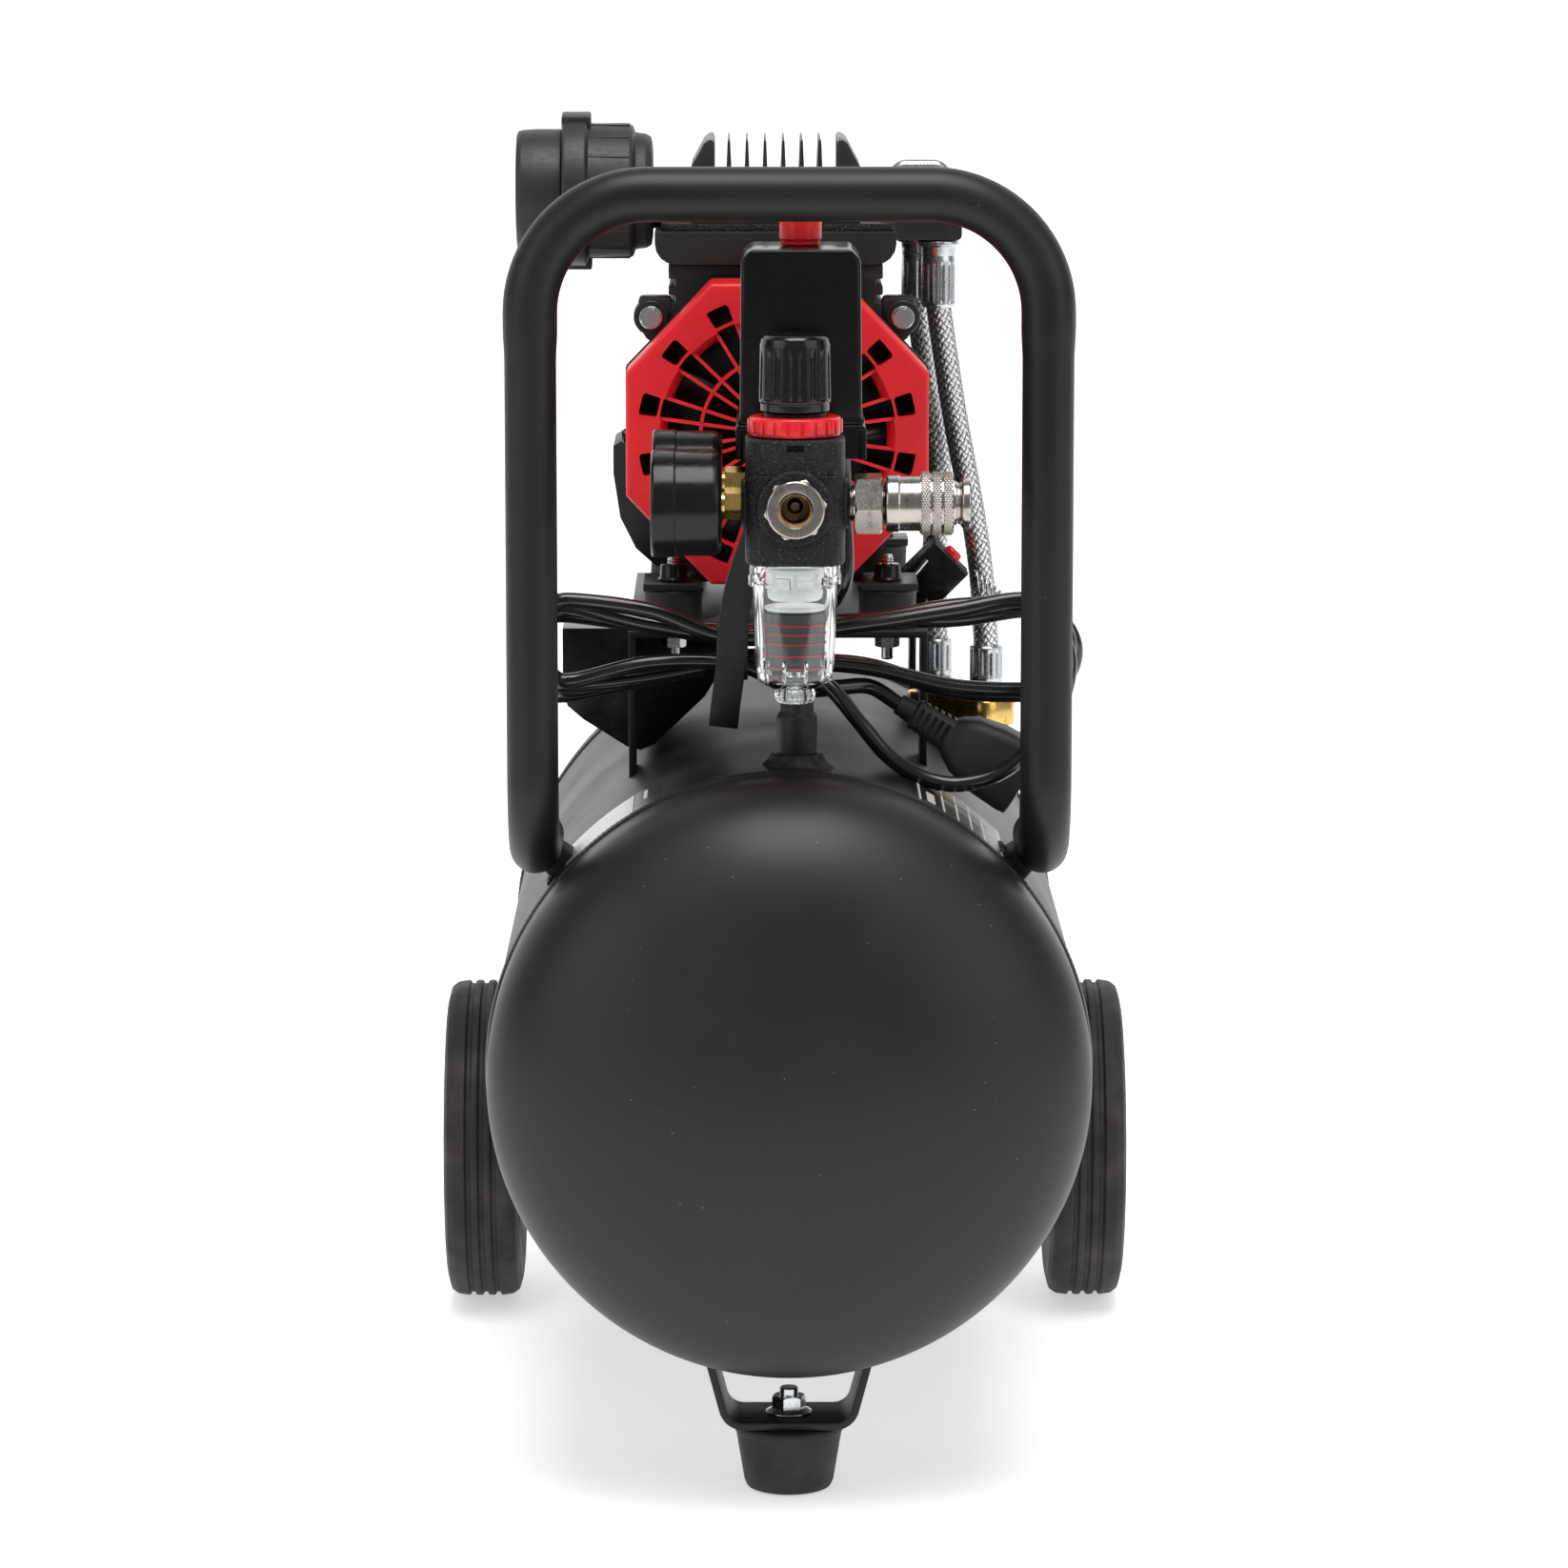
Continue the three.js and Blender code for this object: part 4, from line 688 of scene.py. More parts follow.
# Finishes of printed and small parts that take no slot of their own.
MATERIALS["white_plastic"] = moulded("white_plastic", (0.86, 0.86, 0.86), 0.35)
# This white plastic glows faintly: painted light for what reaches the bowl's baffle and disc through the clear
# bowl.
MATERIALS["glowing_white_plastic"] = moulded(
    "glowing_white_plastic", (0.86, 0.86, 0.87), 0.35, Emission_Color=(1, 1, 1, 1), Emission_Strength=0.22,
)
MATERIALS["print_red"] = moulded("print_red", (0.55, 0.012, 0.015), 0.5)
MATERIALS["print_white"] = moulded("print_white", (0.75, 0.75, 0.74), 0.45)
MATERIALS["label_silver"] = plated("label_silver", (0.66, 0.66, 0.66), 0.35, (0.5, 0.5, 0.5))
MATERIALS["label_black"] = moulded("label_black", (0.012, 0.012, 0.012), 0.3)
MATERIALS["plug_black"] = moulded("plug_black", (0.016, 0.016, 0.016), 0.55, 0.4)
MATERIALS["strap_black"] = moulded("strap_black", (0.007, 0.007, 0.007), 0.45, 0.5)
MATERIALS["film"] = moulded("film", (0.04, 0.038, 0.038), 0.4)
# A darker brass, used only for the thread lining and the core deep in the port.
MATERIALS["brass_darker"] = plated("brass_darker", (0.30, 0.19, 0.09), 0.34, (0.10, 0.06, 0.03))

SLOTS = {row["node"]: row["material_slot"] for row in frame["record"]["subparts"]}
BODY_OF = {
    node: body
    for body, members in frame["record"]["behaviour"]["bodies"].items() for node in members
}


def finished(piece, finish):
    piece.data.materials.clear()
    piece.data.materials.append(MATERIALS[finish])
    return piece


def stands_for(piece, *nodes, finish=None):
    """The piece is shown in place of these CAD nodes, and takes their body, slot and finish."""
    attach(piece, BODY_OF[nodes[0]])
    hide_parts(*nodes)
    return finished(piece, finish or SLOTS[nodes[0]])


def added(piece, node, finish):
    """A further piece on the same body as a CAD node."""
    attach(piece, BODY_OF[node])
    return finished(piece, finish)


for node_name, node in frame["nodes"].items():
    finished(node, SLOTS[node_name])
    node.data.shade_smooth()
    node.data.set_sharp_from_angle(angle=SHARP)


# ---- mains lead --------------------------------------------------------------------------------
LEAD_RADIUS = 3.4
LEAD_EXIT = (22, -119.4, 441.5)
LEAD_ROUTE = [(22, -113, 441.5), (23, -104, 428), (24, -103, 400), (24, -103, 376)]
HANK = Spot("lead_hank")
HANK_TOP = HANK.high.z - LEAD_RADIUS
HANK_BOTTOM = HANK.low.z + LEAD_RADIUS
HANK_TIE = -22  # where the strap pulls the turns together
LANE_START = HANK.high.y - 4.6  # the first turn is the rearmost,
LANE = 7.4  # and each next one lies this far before it
FOLD_LEFT, FOLD_RIGHT = -94, 103.5
TURNS = 4
LANE_LIFT = (-4.5, -1.5, 1.5, 4.5)  # each turn lies a little higher than the one behind it
DROOPING = 2  # the turn whose lower run hangs down in front of the plug
DROOP = [
    (-6, -110, 342), (6, -113, 340), (18, -118.5, 332), (30, -122.5, 318), (42, -124.5, 304),
    (56, -125.5, 295), (72, -126, 292), (90, -125.5, 297), (105, -124, 310), (115, -121.5, 326),
    (118.5, -119, 343), (113, -117.3, 358),
]
PLUG_START = Vector((47, -100, 322.6))
PLUG_ANGLE = 0.55  # how far the plug points down to the right, in radians


def fold(x, side, y, top, bottom):
    """Half a circle round the end of the hank, from its top down. y is (at the top, at the bottom)."""
    radius = (top - bottom) / 2
    points = []
    for step in range(1, 6):
        turn = math.pi * step / 6
        points.append((
            x + side * radius * math.sin(turn), y[0] + (y[1] - y[0]) * step / 6,
            bottom + radius * (1 + math.cos(turn)),
        ))
    return points


def turn_points(turn):
    """One turn of the hank: leftwards along the top, round, and back to the right along the bottom."""
    y = LANE_START - LANE * turn
    left = FOLD_LEFT + 3 * (turn % 2)
    right = FOLD_RIGHT - 3 * (turn % 2)
    middle = (HANK_TOP + HANK_BOTTOM) / 2
    top, bottom = HANK_TOP + LANE_LIFT[turn], HANK_BOTTOM + LANE_LIFT[turn]
    wander = 2.5 * math.sin(2.1 * turn + 0.6)
    leftwards = [
        (right, y, top), (70, y, top - 3 - wander), (30, y, middle + 11), (HANK_TIE, y, middle + 5.5),
        (-58, y, top - 6 + wander), (left, y, top),
    ]
    rightwards = [(left, y, bottom), (-58, y, bottom + 6 + wander), (HANK_TIE, y, middle - 5.5)]
    points = leftwards + fold(left, -1, (y, y), top, bottom) + rightwards
    if turn == DROOPING:
        return points + DROOP
    if turn == TURNS - 1:
        return points
    points += [
        (10, y, middle - 7), (36, y, middle - 9.5), (70, y, bottom + 1.5), (right, y, bottom),
    ]
    return points + fold(right, 1, (y - LANE, y), HANK_TOP + LANE_LIFT[turn + 1], bottom)[::-1]


def lead_points():
    """The whole lead, from the gland of the switch to the plug."""
    first_turn = [(16, -98, 364), (-2, LANE_START, 355.5), (HANK_TIE, LANE_START, 352.5)] + turn_points(0)[4:]
    points = [LEAD_EXIT] + LEAD_ROUTE + first_turn
    for turn in range(1, TURNS):
        points += turn_points(turn)
    into_plug = PLUG_START + Vector((-math.cos(PLUG_ANGLE), 0, math.sin(PLUG_ANGLE))) * 14
    points += [(-4, -116, 334), (10, -112, 330.5), (23, -105, 330.5), tuple(into_plug), tuple(PLUG_START)]
    return points


def make_lead():
    """The lead as one bar, and its centreline."""
    centreline = spline(lead_points(), 2.2)
    lead = sweep("mains_lead", centreline, LEAD_RADIUS, 16)
    stands_for(lead, "lead", "lead_hank")
    return lead, centreline


def make_plug():
    """Moulded plug: a slotted strain relief, a flared grip and two round pins."""
    tilted = Matrix.Rotation(PLUG_ANGLE, 3, "Y")

    def along(x):
        return PLUG_START + tilted @ Vector((x, 0, 0))

    def section(x, half_width, half_height, corner):
        w, h = half_width, half_height
        outline = arc_corners([(-w, -h), (w, -h), (w, h), (-w, h)], corner, 4)
        return [along(x) + tilted @ Vector((0, a, b)) for a, b in outline]

    stations = [
        (0, 4.4, 4.4, 4.2), (7, 5.0, 5.0, 4.4), (8, 6.6, 6.6, 4.6), (25, 7.4, 7.6, 4.8), (27, 9.0, 9.4, 5),
        (33, 12.4, 12.8, 5), (45, 14.6, 15.4, 5), (58, 15.2, 16.0, 5), (61.5, 14.8, 15.6, 5),
        (62, 13.5, 14.3, 4.5),
    ]
    bm = bmesh.new()
    skinned(bm, [[bm.verts.new(point) for point in section(*station)] for station in stations])
    body = to_piece("plug_moulding", bm)
    slots = []
    for i in range(5):
        for x_turn, offset in (
            (0, (0, 0, -7.4)), (math.pi / 2, (0, -7.4, 0)), (0, (0, 0, 7.4)), (math.pi / 2, (0, 7.4, 0)),
        ):
            slot = box("slot", (-0.8, 0.8), (-4.4, 4.4), (-1.8, 1.8), edge=0.3)
            slots.append(turned(turned(slot, offset, x_turn, "X"), along(10 + 3.2 * i), PLUG_ANGLE, "Y"))
    carved(body, *slots)
    stands_for(body, "plug")
    finished(body, "plug_black")
    pins = merged("plug_pins", [
        sweep("pin", [along(61) + AXES["y"] * y, along(78) + AXES["y"] * y], 2.4, 20, 0.8)
        for y in (-9.5, 9.5)
    ])
    added(pins, "plug", "nickel")
    return body, pins


def facing_front(tangent):
    """The sideways direction of a strip whose flat side faces the front."""
    return tangent.cross(AXES["y"]).normalized()


def make_strap():
    """The strap that holds the hank: a loop round its turns, hung from the cross under the switch."""
    hang = [
        (-9.5, -130, 407), (-13, -128.5, 398), (-18, -127, 384), (-22, -126.2, 368),
        (-23.5, -125.6, 350), (-25, -125.2, 336), (-26.5, -124.6, 325), (-27.5, -123.4, 316),
    ]
    tail = strip("lead_strap", spline(hang, 3), 12.5, 1.7, facing_front, 0.5)
    half_height, sheet = 12.5, 1.6
    front, back = HANK.low.y + 0.4, HANK.high.y + 1.4

    def loop(inset, overhang):
        return box(
            "loop", (HANK_TIE - 8 - overhang, HANK_TIE + 5 + overhang), (front + inset, back - inset),
            (HANK.mid.z - half_height + inset, HANK.mid.z + half_height - inset),
            corner=6 - 0.875 * inset, axis="x",
        )

    ring = edged(carved(loop(0, 0), loop(sheet, 4)), 0.5)
    strap = merged("lead_strap", [tail, ring])
    return added(strap, "lead_hank", "strap_black")


lead_piece, lead_line = make_lead()
plug_pieces = make_plug()
strap_piece = make_strap()


# ---- tank --------------------------------------------------------------------------------------
SHELL = Spot("tank_shell")
DOME = Spot("tank_dome_front")
TANK_RADIUS = DOME.size.x / 2 - 1.6  # without the weld bead
TANK_CENTRE = (0, 0, DOME.mid.z)
TANK_WALL = 3
SEAM = SHELL.high.y
TANK_TURNS = 160
RISER_X, RISER_Y = 3.5, -152


def tank_top(x):
    """How high the shell is at this distance from its middle."""
    return TANK_CENTRE[2] + math.sqrt(TANK_RADIUS ** 2 - x ** 2)


def make_shell():
    """The tank's barrel with the bungs of the riser, the check valve and the drain."""
    inner = TANK_RADIUS - TANK_WALL
    shell = lathe("shell_skin", [
        (TANK_RADIUS, -SEAM), (TANK_RADIUS, SEAM), (inner, SEAM), (inner, -SEAM),
    ], "y", TANK_CENTRE, TANK_TURNS)
    stands_for(shell, "tank_shell")
    welded_bung("riser_bung", RISER_X, RISER_Y, 10.4, 16.5, 309.4)
    welded_bung("valve_bung", 79, 62.5, 11, 14.5, 292)
    drain = lathe("drain_bung", [
        (6, 49), (10, 49), (11, 50), (11.5, 56), (14, 60), (6, 62),
    ], "z", (0, 40, 0), 48)
    added(drain, "tank_shell", "tank_paint")


def welded_bung(name, x, y, top_radius, base_radius, top):
    """A threaded bung with a sloping weld round its foot, laid on the curve of the shell."""
    def lay(angle, along):
        return 0.35 * math.sin(23 * angle) + 0.2 * math.sin(41 * angle + 1)

    foot = tank_top(x) - 14
    bung = lathe(name, [
        (top_radius - 3, top), (top_radius, top), (top_radius + 0.6, top - 1.2), (top_radius + 1.6, top - 3),
        (base_radius, top - 6.4), (base_radius + 2, top - 9), (base_radius + 2, foot), (top_radius - 3, foot),
    ], "z", (x, y, 0), 64, ripple=lay, soft=1.0)
    added(bung, "tank_shell", "tank_paint")


def dome_profile(side):
    """Half of an ellipse from a short straight skirt, as a wall of the tank's thickness."""
    steps, skirt, wall = 26, 202, TANK_WALL
    depth = abs(DOME.low.y) - skirt
    outer, inner = [], []
    for step in range(steps + 1):
        turn = (math.pi / 2) * step / steps
        across = 0.0 if step == steps else math.cos(turn)
        outer.append((TANK_RADIUS * across, side * (skirt + depth * math.sin(turn))))
        inner.append(((TANK_RADIUS - wall) * across, side * (skirt + (depth - wall) * math.sin(turn))))
    lip = [(TANK_RADIUS - wall, SEAM), (TANK_RADIUS - 0.4, SEAM + 0.4), (TANK_RADIUS, SEAM + 5)]
    return inner[::-1] + [(radius, side * along) for radius, along in lip] + outer


def make_dome(side, name, node):
    """One end of the tank, with the weld bead that joins it to the barrel."""
    dome = lathe(name, dome_profile(side), "y", TANK_CENTRE, TANK_TURNS)
    stands_for(dome, node)

    def stacked(angle, along):
        return 0.18 * abs(math.sin(170 * angle)) + 0.12 * math.sin(7 * angle)

    start = SEAM - 1.5
    bead = [(-0.8, 0), (0.5, 0.4), (1.1, 1.8), (1.2, 3.2), (0.6, 5.2), (-0.8, 5.8)]
    profile = [(TANK_RADIUS + rise, side * (start + along)) for rise, along in bead]
    weld = lathe(f"{name}_weld", profile, "y", TANK_CENTRE, 1020, ripple=stacked)
    added(weld, node, "tank_paint")


def shell_patch(name, y, angles, finish, lift=0.1, thickness=0.12, steps=24):
    """A thin label laid on the shell. Angles are in degrees from the top, towards +X."""
    bm = bmesh.new()
    rings = []
    for step in range(steps + 1):
        angle = math.radians(angles[0] + (angles[1] - angles[0]) * step / steps)
        out = Vector((math.sin(angle), 0, math.cos(angle)))
        ring = []
        for reach, along in ((lift, y[0]), (lift, y[1]), (lift + thickness, y[1]), (lift + thickness, y[0])):
            ring.append(bm.verts.new(
                Vector(TANK_CENTRE) + out * (TANK_RADIUS + reach) + AXES["y"] * along
            ))
        rings.append(ring)
    skinned(bm, rings)
    return added(to_piece(name, bm), "tank_shell", finish)


def printed(name, y, angles, steps=24):
    """White print: a thinner patch that lies on a label."""
    shell_patch(name, y, angles, "print_white", 0.23, 0.05, steps)


def make_labels():
    """Two plain rating plates: a silver one with a dark end, and a dark one with blank ruled rows."""
    shell_patch("plate_left", (-173, -124), (-48, -31.2), "label_silver")
    shell_patch("plate_left_end", (-173, -124), (-31, -25.6), "label_black")
    printed("plate_left_bar", (-150, -129), (-29, -28.2))
    shell_patch("plate_right", (-173, -100), (24.8, 46), "label_black")
    for i, y in enumerate((-171, -103)):
        printed(f"plate_right_edge{i}", (y, y + 1), (25.6, 45.2))
    for i, angle in enumerate((25.6, 30.8, 34, 37.2, 40.4, 44.8)):
        printed(f"plate_right_row{i}", (-171, -102), (angle, angle + 0.5), 4)
    printed("plate_right_head", (-166, -140), (27.4, 29.2), 4)
    printed("plate_right_column", (-138, -137), (31.3, 44.8))


make_shell()
make_dome(-1, "dome_front", "tank_dome_front")
make_dome(1, "dome_rear", "tank_dome_rear")
make_labels()


# ---- handle ------------------------------------------------------------------------------------
HANDLE = Spot("handle")
TUBE = 10.9
HANDLE_RUN, HANDLE_END = 271, -127  # height of the tube's ends along the tank, and where they stop


def make_handle():
    """One bent tube: full round along the grip, drawn in a little where it enters the legs."""
    half = HANDLE.high.x - TUBE
    y = HANDLE.low.y + TUBE
    bar = HANDLE.high.z - TUBE
    run, end = HANDLE_RUN, HANDLE_END
    corners = [
        (-half, end, run), (-half, y, run), (-half, y, bar), (half, y, bar), (half, y, run), (half, end, run),
    ]
    path = evenly(with_bends(corners, [35, 48, 48, 35], 2.4), 3)
    neck = bar - 61

    def girth(step, run_length, angle):
        z = path[step].z
        blend = min(1.0, max(0.0, (z - neck + 7) / 14))
        blend = blend * blend * (3 - 2 * blend)
        return 10.6 + 0.55 * blend

    hoop = sweep("handle_tube", path, girth, 40, 1.5)
    plates = [part for side in (-1, 1) for part in weld_plate(side * half)]
    stands_for(merged("handle_tube", [hoop, *plates]), "handle")


def weld_plate(x):
    """The plate between the tank and a low run of the handle, with its weld bead."""
    foot = Vector((x, HANDLE_RUN - TANK_CENTRE[2]))
    out = foot.normalized()
    along = Vector((-out.y, out.x)) * 4.5
    near = out * (TANK_RADIUS - 1)
    outline = [near - along * 1.5, foot - along, foot + along, near + along * 1.5]
    plate = prism("plate", outline, "y", -158, HANDLE_END - 6, (0, 0, TANK_CENTRE[2]), 1.2)
    corner = near + along * 1.7
    line = [Vector((corner.x, y, TANK_CENTRE[2] + corner.y)) for y in (-160, HANDLE_END - 5)]
    bead = sweep("bead", evenly(line, 1.2), lambda step, run, angle: 2.0 + 0.35 * math.sin(2.6 * step), 14)
    return plate, bead


make_handle()


# ---- foot --------------------------------------------------------------------------------------
FOOT = Spot("rubber_foot")
STRAP = Spot("foot_bracket")


def make_foot():
    """Rubber foot under a bent strap, held by a flanged bolt."""
    x, y = FOOT.mid.x, FOOT.mid.y
    top = FOOT.high.z
    rubber_piece = lathe("foot_rubber", [
        (4.3, top), (21.6, top), (22.7, top - 1), (22.9, top - 3), (22.2, top - 3.8), (18.8, 3.5),
        (17.6, 0.8), (15.5, 0), (9, 0), (9, 12), (4.3, 12),
    ], "z", (x, y, 0), 96, soft=0.6)
    stands_for(rubber_piece, "rubber_foot")
    sheet = 3.4
    bottom = STRAP.low.z + sheet / 2
    path = [
        (-36, y, 66), (-33.3, y, 58), (-25.8, y, bottom), (25.8, y, bottom), (33.3, y, 58), (36, y, 66),
    ]
    path = with_bends(path, [60, 9, 9, 60], 1.2)
    strap = strip("foot_strap", path, STRAP.size.y, sheet, lambda tangent: AXES["y"], 0.7)
    carved(
        strap,
        rod("tool", TANK_RADIUS + 0.2, -300, 300, "y", TANK_CENTRE, TANK_TURNS),
        rod("tool", 4.3, 20, 40, "z", (x, y, 0), 32),
    )
    stands_for(strap, "foot_bracket")
    seat = STRAP.low.z + sheet + 0.2
    bolt = merged("foot_bolt_head", [
        lathe("flange", [(0, seat), (9.6, seat), (9.8, seat + 0.7), (7, seat + 2.2), (0, seat + 2.2)],
              "z", (x, y, 0), 64, soft=0.3),
        hexagon("head", 7.2, seat + 1.6, seat + 7.4, "z", (x, y, 0), 1.2, 0.2),
        lathe("shank", [
            (0, 6), (4, 6), (4, seat + 10.4), (3.4, seat + 11), (0, seat + 11),
        ], "z", (x, y, 0), 32),
    ])
    stands_for(bolt, "foot_bolt")


make_foot()


# ---- wheels ------------------------------------------------------------------------------------
def make_wheel(side, name):
    """Tyre with three grooves, rim with ribs on both faces, and its axle bolt and bracket."""
    tyre = Spot(f"tyre_{name}")
    centre = (0, tyre.mid.y, tyre.mid.z)
    radius = tyre.size.z / 2
    inner, outer = sorted((abs(tyre.low.x), abs(tyre.high.x)))
    lip = 52.3
    grooves = [(0.30, 0.36), (0.47, 0.53), (0.64, 0.70)]
    tread = [(lip, inner + 3), (radius - 9, inner), (radius - 3, inner + 1.6), (radius - 0.9, inner + 4.5)]
    width = outer - inner
    for first, last in grooves:
        a, b = inner + width * first, inner + width * last
        tread += [
            (radius - 0.15, a - 0.9), (radius - 0.5, a - 0.3), (radius - 1.7, a), (radius - 1.7, b),
            (radius - 0.5, b + 0.3), (radius - 0.15, b + 0.9),
        ]
    tread += [(radius - 0.9, outer - 4.5), (radius - 3, outer - 1.6), (radius - 9, outer), (lip, outer - 3)]
    rubber_piece = lathe(f"tyre_tread_{name}", [(r, side * x) for r, x in tread], "x", centre, 144, soft=0.7)
    stands_for(rubber_piece, f"tyre_{name}")
    rim = Spot(f"rim_{name}")
    start = min(abs(rim.low.x), abs(rim.high.x))
    hub_end = 152
    profile = [
        (6.3, start), (14.6, start), (15, start + 1), (15, 139), (19, 140), (43, 141.5), (48, 137),
        (48, 128), (52, 128), (52, 155), (48, 155), (47.6, 147), (43, 144.8), (20, 143.6), (15, 146),
        (14.6, hub_end), (6.3, hub_end),
    ]
    disc = lathe(f"rim_disc_{name}", [(r, side * x) for r, x in profile], "x", centre, 128, soft=1.2)
    spokes = []
    for faces in ((142, 146.2), (137.6, 141.5)):
        across = sorted(side * x for x in faces)
        spokes += around(8, lambda: box("rib", across, (-1.3, 1.3), (14, 49), 0.4), centre, "X")
    stands_for(merged(f"rim_disc_{name}", [disc, *spokes]), f"rim_{name}")
    plate = 116.5
    cap_profile = [(0, 152.3), (10.6, 152.3), (11, 152.9), (10.4, 155.4), (6.4, 157.6), (0, 158)]
    cap = lathe("cap", [(r, side * x) for r, x in cap_profile], "x", centre, 48, soft=0.7)
    shank_profile = [(0, 108), (5.6, 108), (6, 108.8), (6, 153), (0, 153)]
    shank = lathe("shank", [(r, side * x) for r, x in shank_profile], "x", centre, 40)
    nut = hexagon("nut", 10, *sorted((side * (plate - 8), side * plate)), "x", centre, 1.4)
    stands_for(merged(f"axle_{name}", [cap, shank, nut]), f"axle_bolt_{name}")
    stands_for(from_node(f"axle_plate_{name}", f"axle_bracket_{name}", 0.9), f"axle_bracket_{name}")


for wheel_side, wheel_name in ((-1, "left"), (1, "right")):
    make_wheel(wheel_side, wheel_name)


# ---- platform and mounts -------------------------------------------------------------------------
PLATFORM = Spot("platform")


def make_mount(name):
    """Rubber buffer with a plain collar and the bright tip of its stud above the lug."""
    spot = Spot(f"mount_{name}")
    x, y = spot.mid.x, spot.mid.y
    base = PLATFORM.high.z + 0.3
    top = base + 16
    lug = top + 3.6
    radius = spot.size.x / 2
    buffer = lathe(f"buffer_{name}", [
        (2.8, base), (radius - 0.5, base), (radius, base + 0.6), (radius - 0.5, base + 2.2),
        (radius - 0.7, base + 8), (radius - 0.5, top - 2.2), (radius, top - 0.6), (radius - 0.5, top),
        (2.8, top),
    ], "z", (x, y, 0), 64, soft=0.4)
    stands_for(buffer, f"mount_{name}")
    collar = lathe(f"collar_{name}", [
        (2.4, lug), (6.6, lug), (6.8, lug + 0.6), (5.9, lug + 1.6), (5.6, lug + 6.6), (5.0, lug + 7.2),
        (2.4, lug + 7.2),
    ], "z", (x, y, 0), 40, soft=0.3)
    added(collar, f"mount_{name}", "black_plastic")
    stud_top = spot.high.z

    def thread(angle, along):
        return 0.22 * math.sin(TAU * along / 1.25 + angle)

    rise = [(2.5, lug + 6 + 0.2 * k) for k in range(int((stud_top - lug - 7) / 0.2))]
    stud_profile = [(0, lug + 6), *rise, (2.2, stud_top - 0.4), (0, stud_top)]
    stud = lathe("stud", stud_profile, "z", (x, y, 0), 28, ripple=thread)
    under = PLATFORM.high.z - 3.2
    washer = rod("washer", 6.4, under - 1.2, under, "z", (x, y, 0), 40, 0.2)
    nut = hexagon("nut", 5.4, under - 6, under - 1.2, "z", (x, y, 0), 0.8)
    low = lathe("low", [
        (0, under - 5), (2.6, under - 5), (2.6, under - 11), (2.0, under - 11.6), (0, under - 11.6),
    ], "z", (x, y, 0), 28)
    added(merged(f"stud_{name}", [stud, washer, nut, low]), f"mount_{name}", "zinc_steel")


stands_for(from_node("platform_sheet", "platform", 1.1), "platform")
for mount_name in ("front_left", "front_right", "rear_left", "rear_right"):
    make_mount(mount_name)


# ---- pump casting ------------------------------------------------------------------------------
SHAFT = (-4.3, 0, 433)
COVER = Spot("fan_cover")
VALVES = Spot("valve_block")


def make_ear_bolts():
    """Flanged hexagon bolts in the two ears at the shoulders of the crankcase."""
    for side, name in ((-1, "left"), (1, "right")):
        centre = (SHAFT[0] + side * 54.7, 0, 480.5)
        bolt = merged(f"ear_bolt_{name}", [
            rod("washer", 5, -20.4, -18.2, "y", centre, 48, 0.3),
            hexagon("head", 4.6, -25, -20.3, "y", centre, 1.1, 0.3),
        ])
        added(bolt, "crankcase", "zinc_steel")
        boss = lathe("boss", [
            (0, -18.3), (7, -18.3), (7.6, -17.6), (7.8, -2), (0, -2),
        ], "y", centre, 48, soft=0.4)
        sides = sorted((centre[0] + side * 5.6, centre[0] - side * 9))
        lug = box("lug", sides, (-17, -3), (centre[2] - 7, centre[2] + 9), 2)
        added(merged(f"ear_boss_{name}", [boss, lug]), "crankcase", "casting")


stands_for(from_node("crankcase_casting", "crankcase", 1.2), "crankcase")
stands_for(from_node("motor_casting", "motor_housing", 1.0), "motor_housing")
stands_for(from_node("cylinder_casting", "cylinder", 1.0), "cylinder")
stands_for(from_node("valve_casting", "valve_block", 1.4, 3), "valve_block")
make_ear_bolts()


def make_gasket():
    """The rough edge of the head gasket, standing just proud of the block."""
    band = box(
        "head_gasket", (VALVES.low.x + 2.6, 47), (VALVES.low.y + 1.2, VALVES.high.y - 1.2), (518.05, 521.4),
        0.4, 5, "z",
    )
    added(band, "valve_block", "regulator_black")


make_gasket()


# ---- fan cover ---------------------------------------------------------------------------------
WINDOWS = 14
PITCH = TAU / WINDOWS
WINDOW_HALF = math.radians(5.3)  # half the angle of a window and of the ribs beside it
RIB = 1.4
COVER_TOP_HALF, COVER_SIDE_HALF = 28.5, 26.5  # half of the octagon's level edges and of its upright ones


def polar(radius, angle):
    return (SHAFT[0] + radius * math.cos(angle), SHAFT[2] + radius * math.sin(angle))


def ring_sector(name, inner, outer, middle, half, front, back, corner=0.0, inset=0.0):
    """Part of a ring, inset from straight sides so that a rib of even thickness stays beside it."""
    steps = 8

    def arc(radius, forwards):
        swing = half - inset / radius
        turns = [middle + swing * (2 * k / steps - 1) for k in range(steps + 1)]
        return [polar(radius, turn) for turn in (turns if forwards else turns[::-1])]

    outline = arc(inner, True) + arc(outer, False)
    if corner:
        corners = [outline[0], *outline[2:steps - 1:3], outline[steps], outline[steps + 1],
                   *outline[steps + 3:-2:3], outline[-1]]
        outline = rounded_off(corners, corner, 4)
    return prism(name, outline, "y", front, back)


def octagon(inset):
    """The cover's outline, set in by a distance."""
    w, h = COVER.size.x / 2 - inset, COVER.size.z / 2 - inset
    top, side = COVER_TOP_HALF - 0.4 * inset, COVER_SIDE_HALF - 0.4 * inset
    outline = [(-top, h), (-w, side), (-w, -side), (-top, -h), (top, -h), (w, -side), (w, side), (top, h)]
    return [(SHAFT[0] + a, SHAFT[2] + b) for a, b in outline]


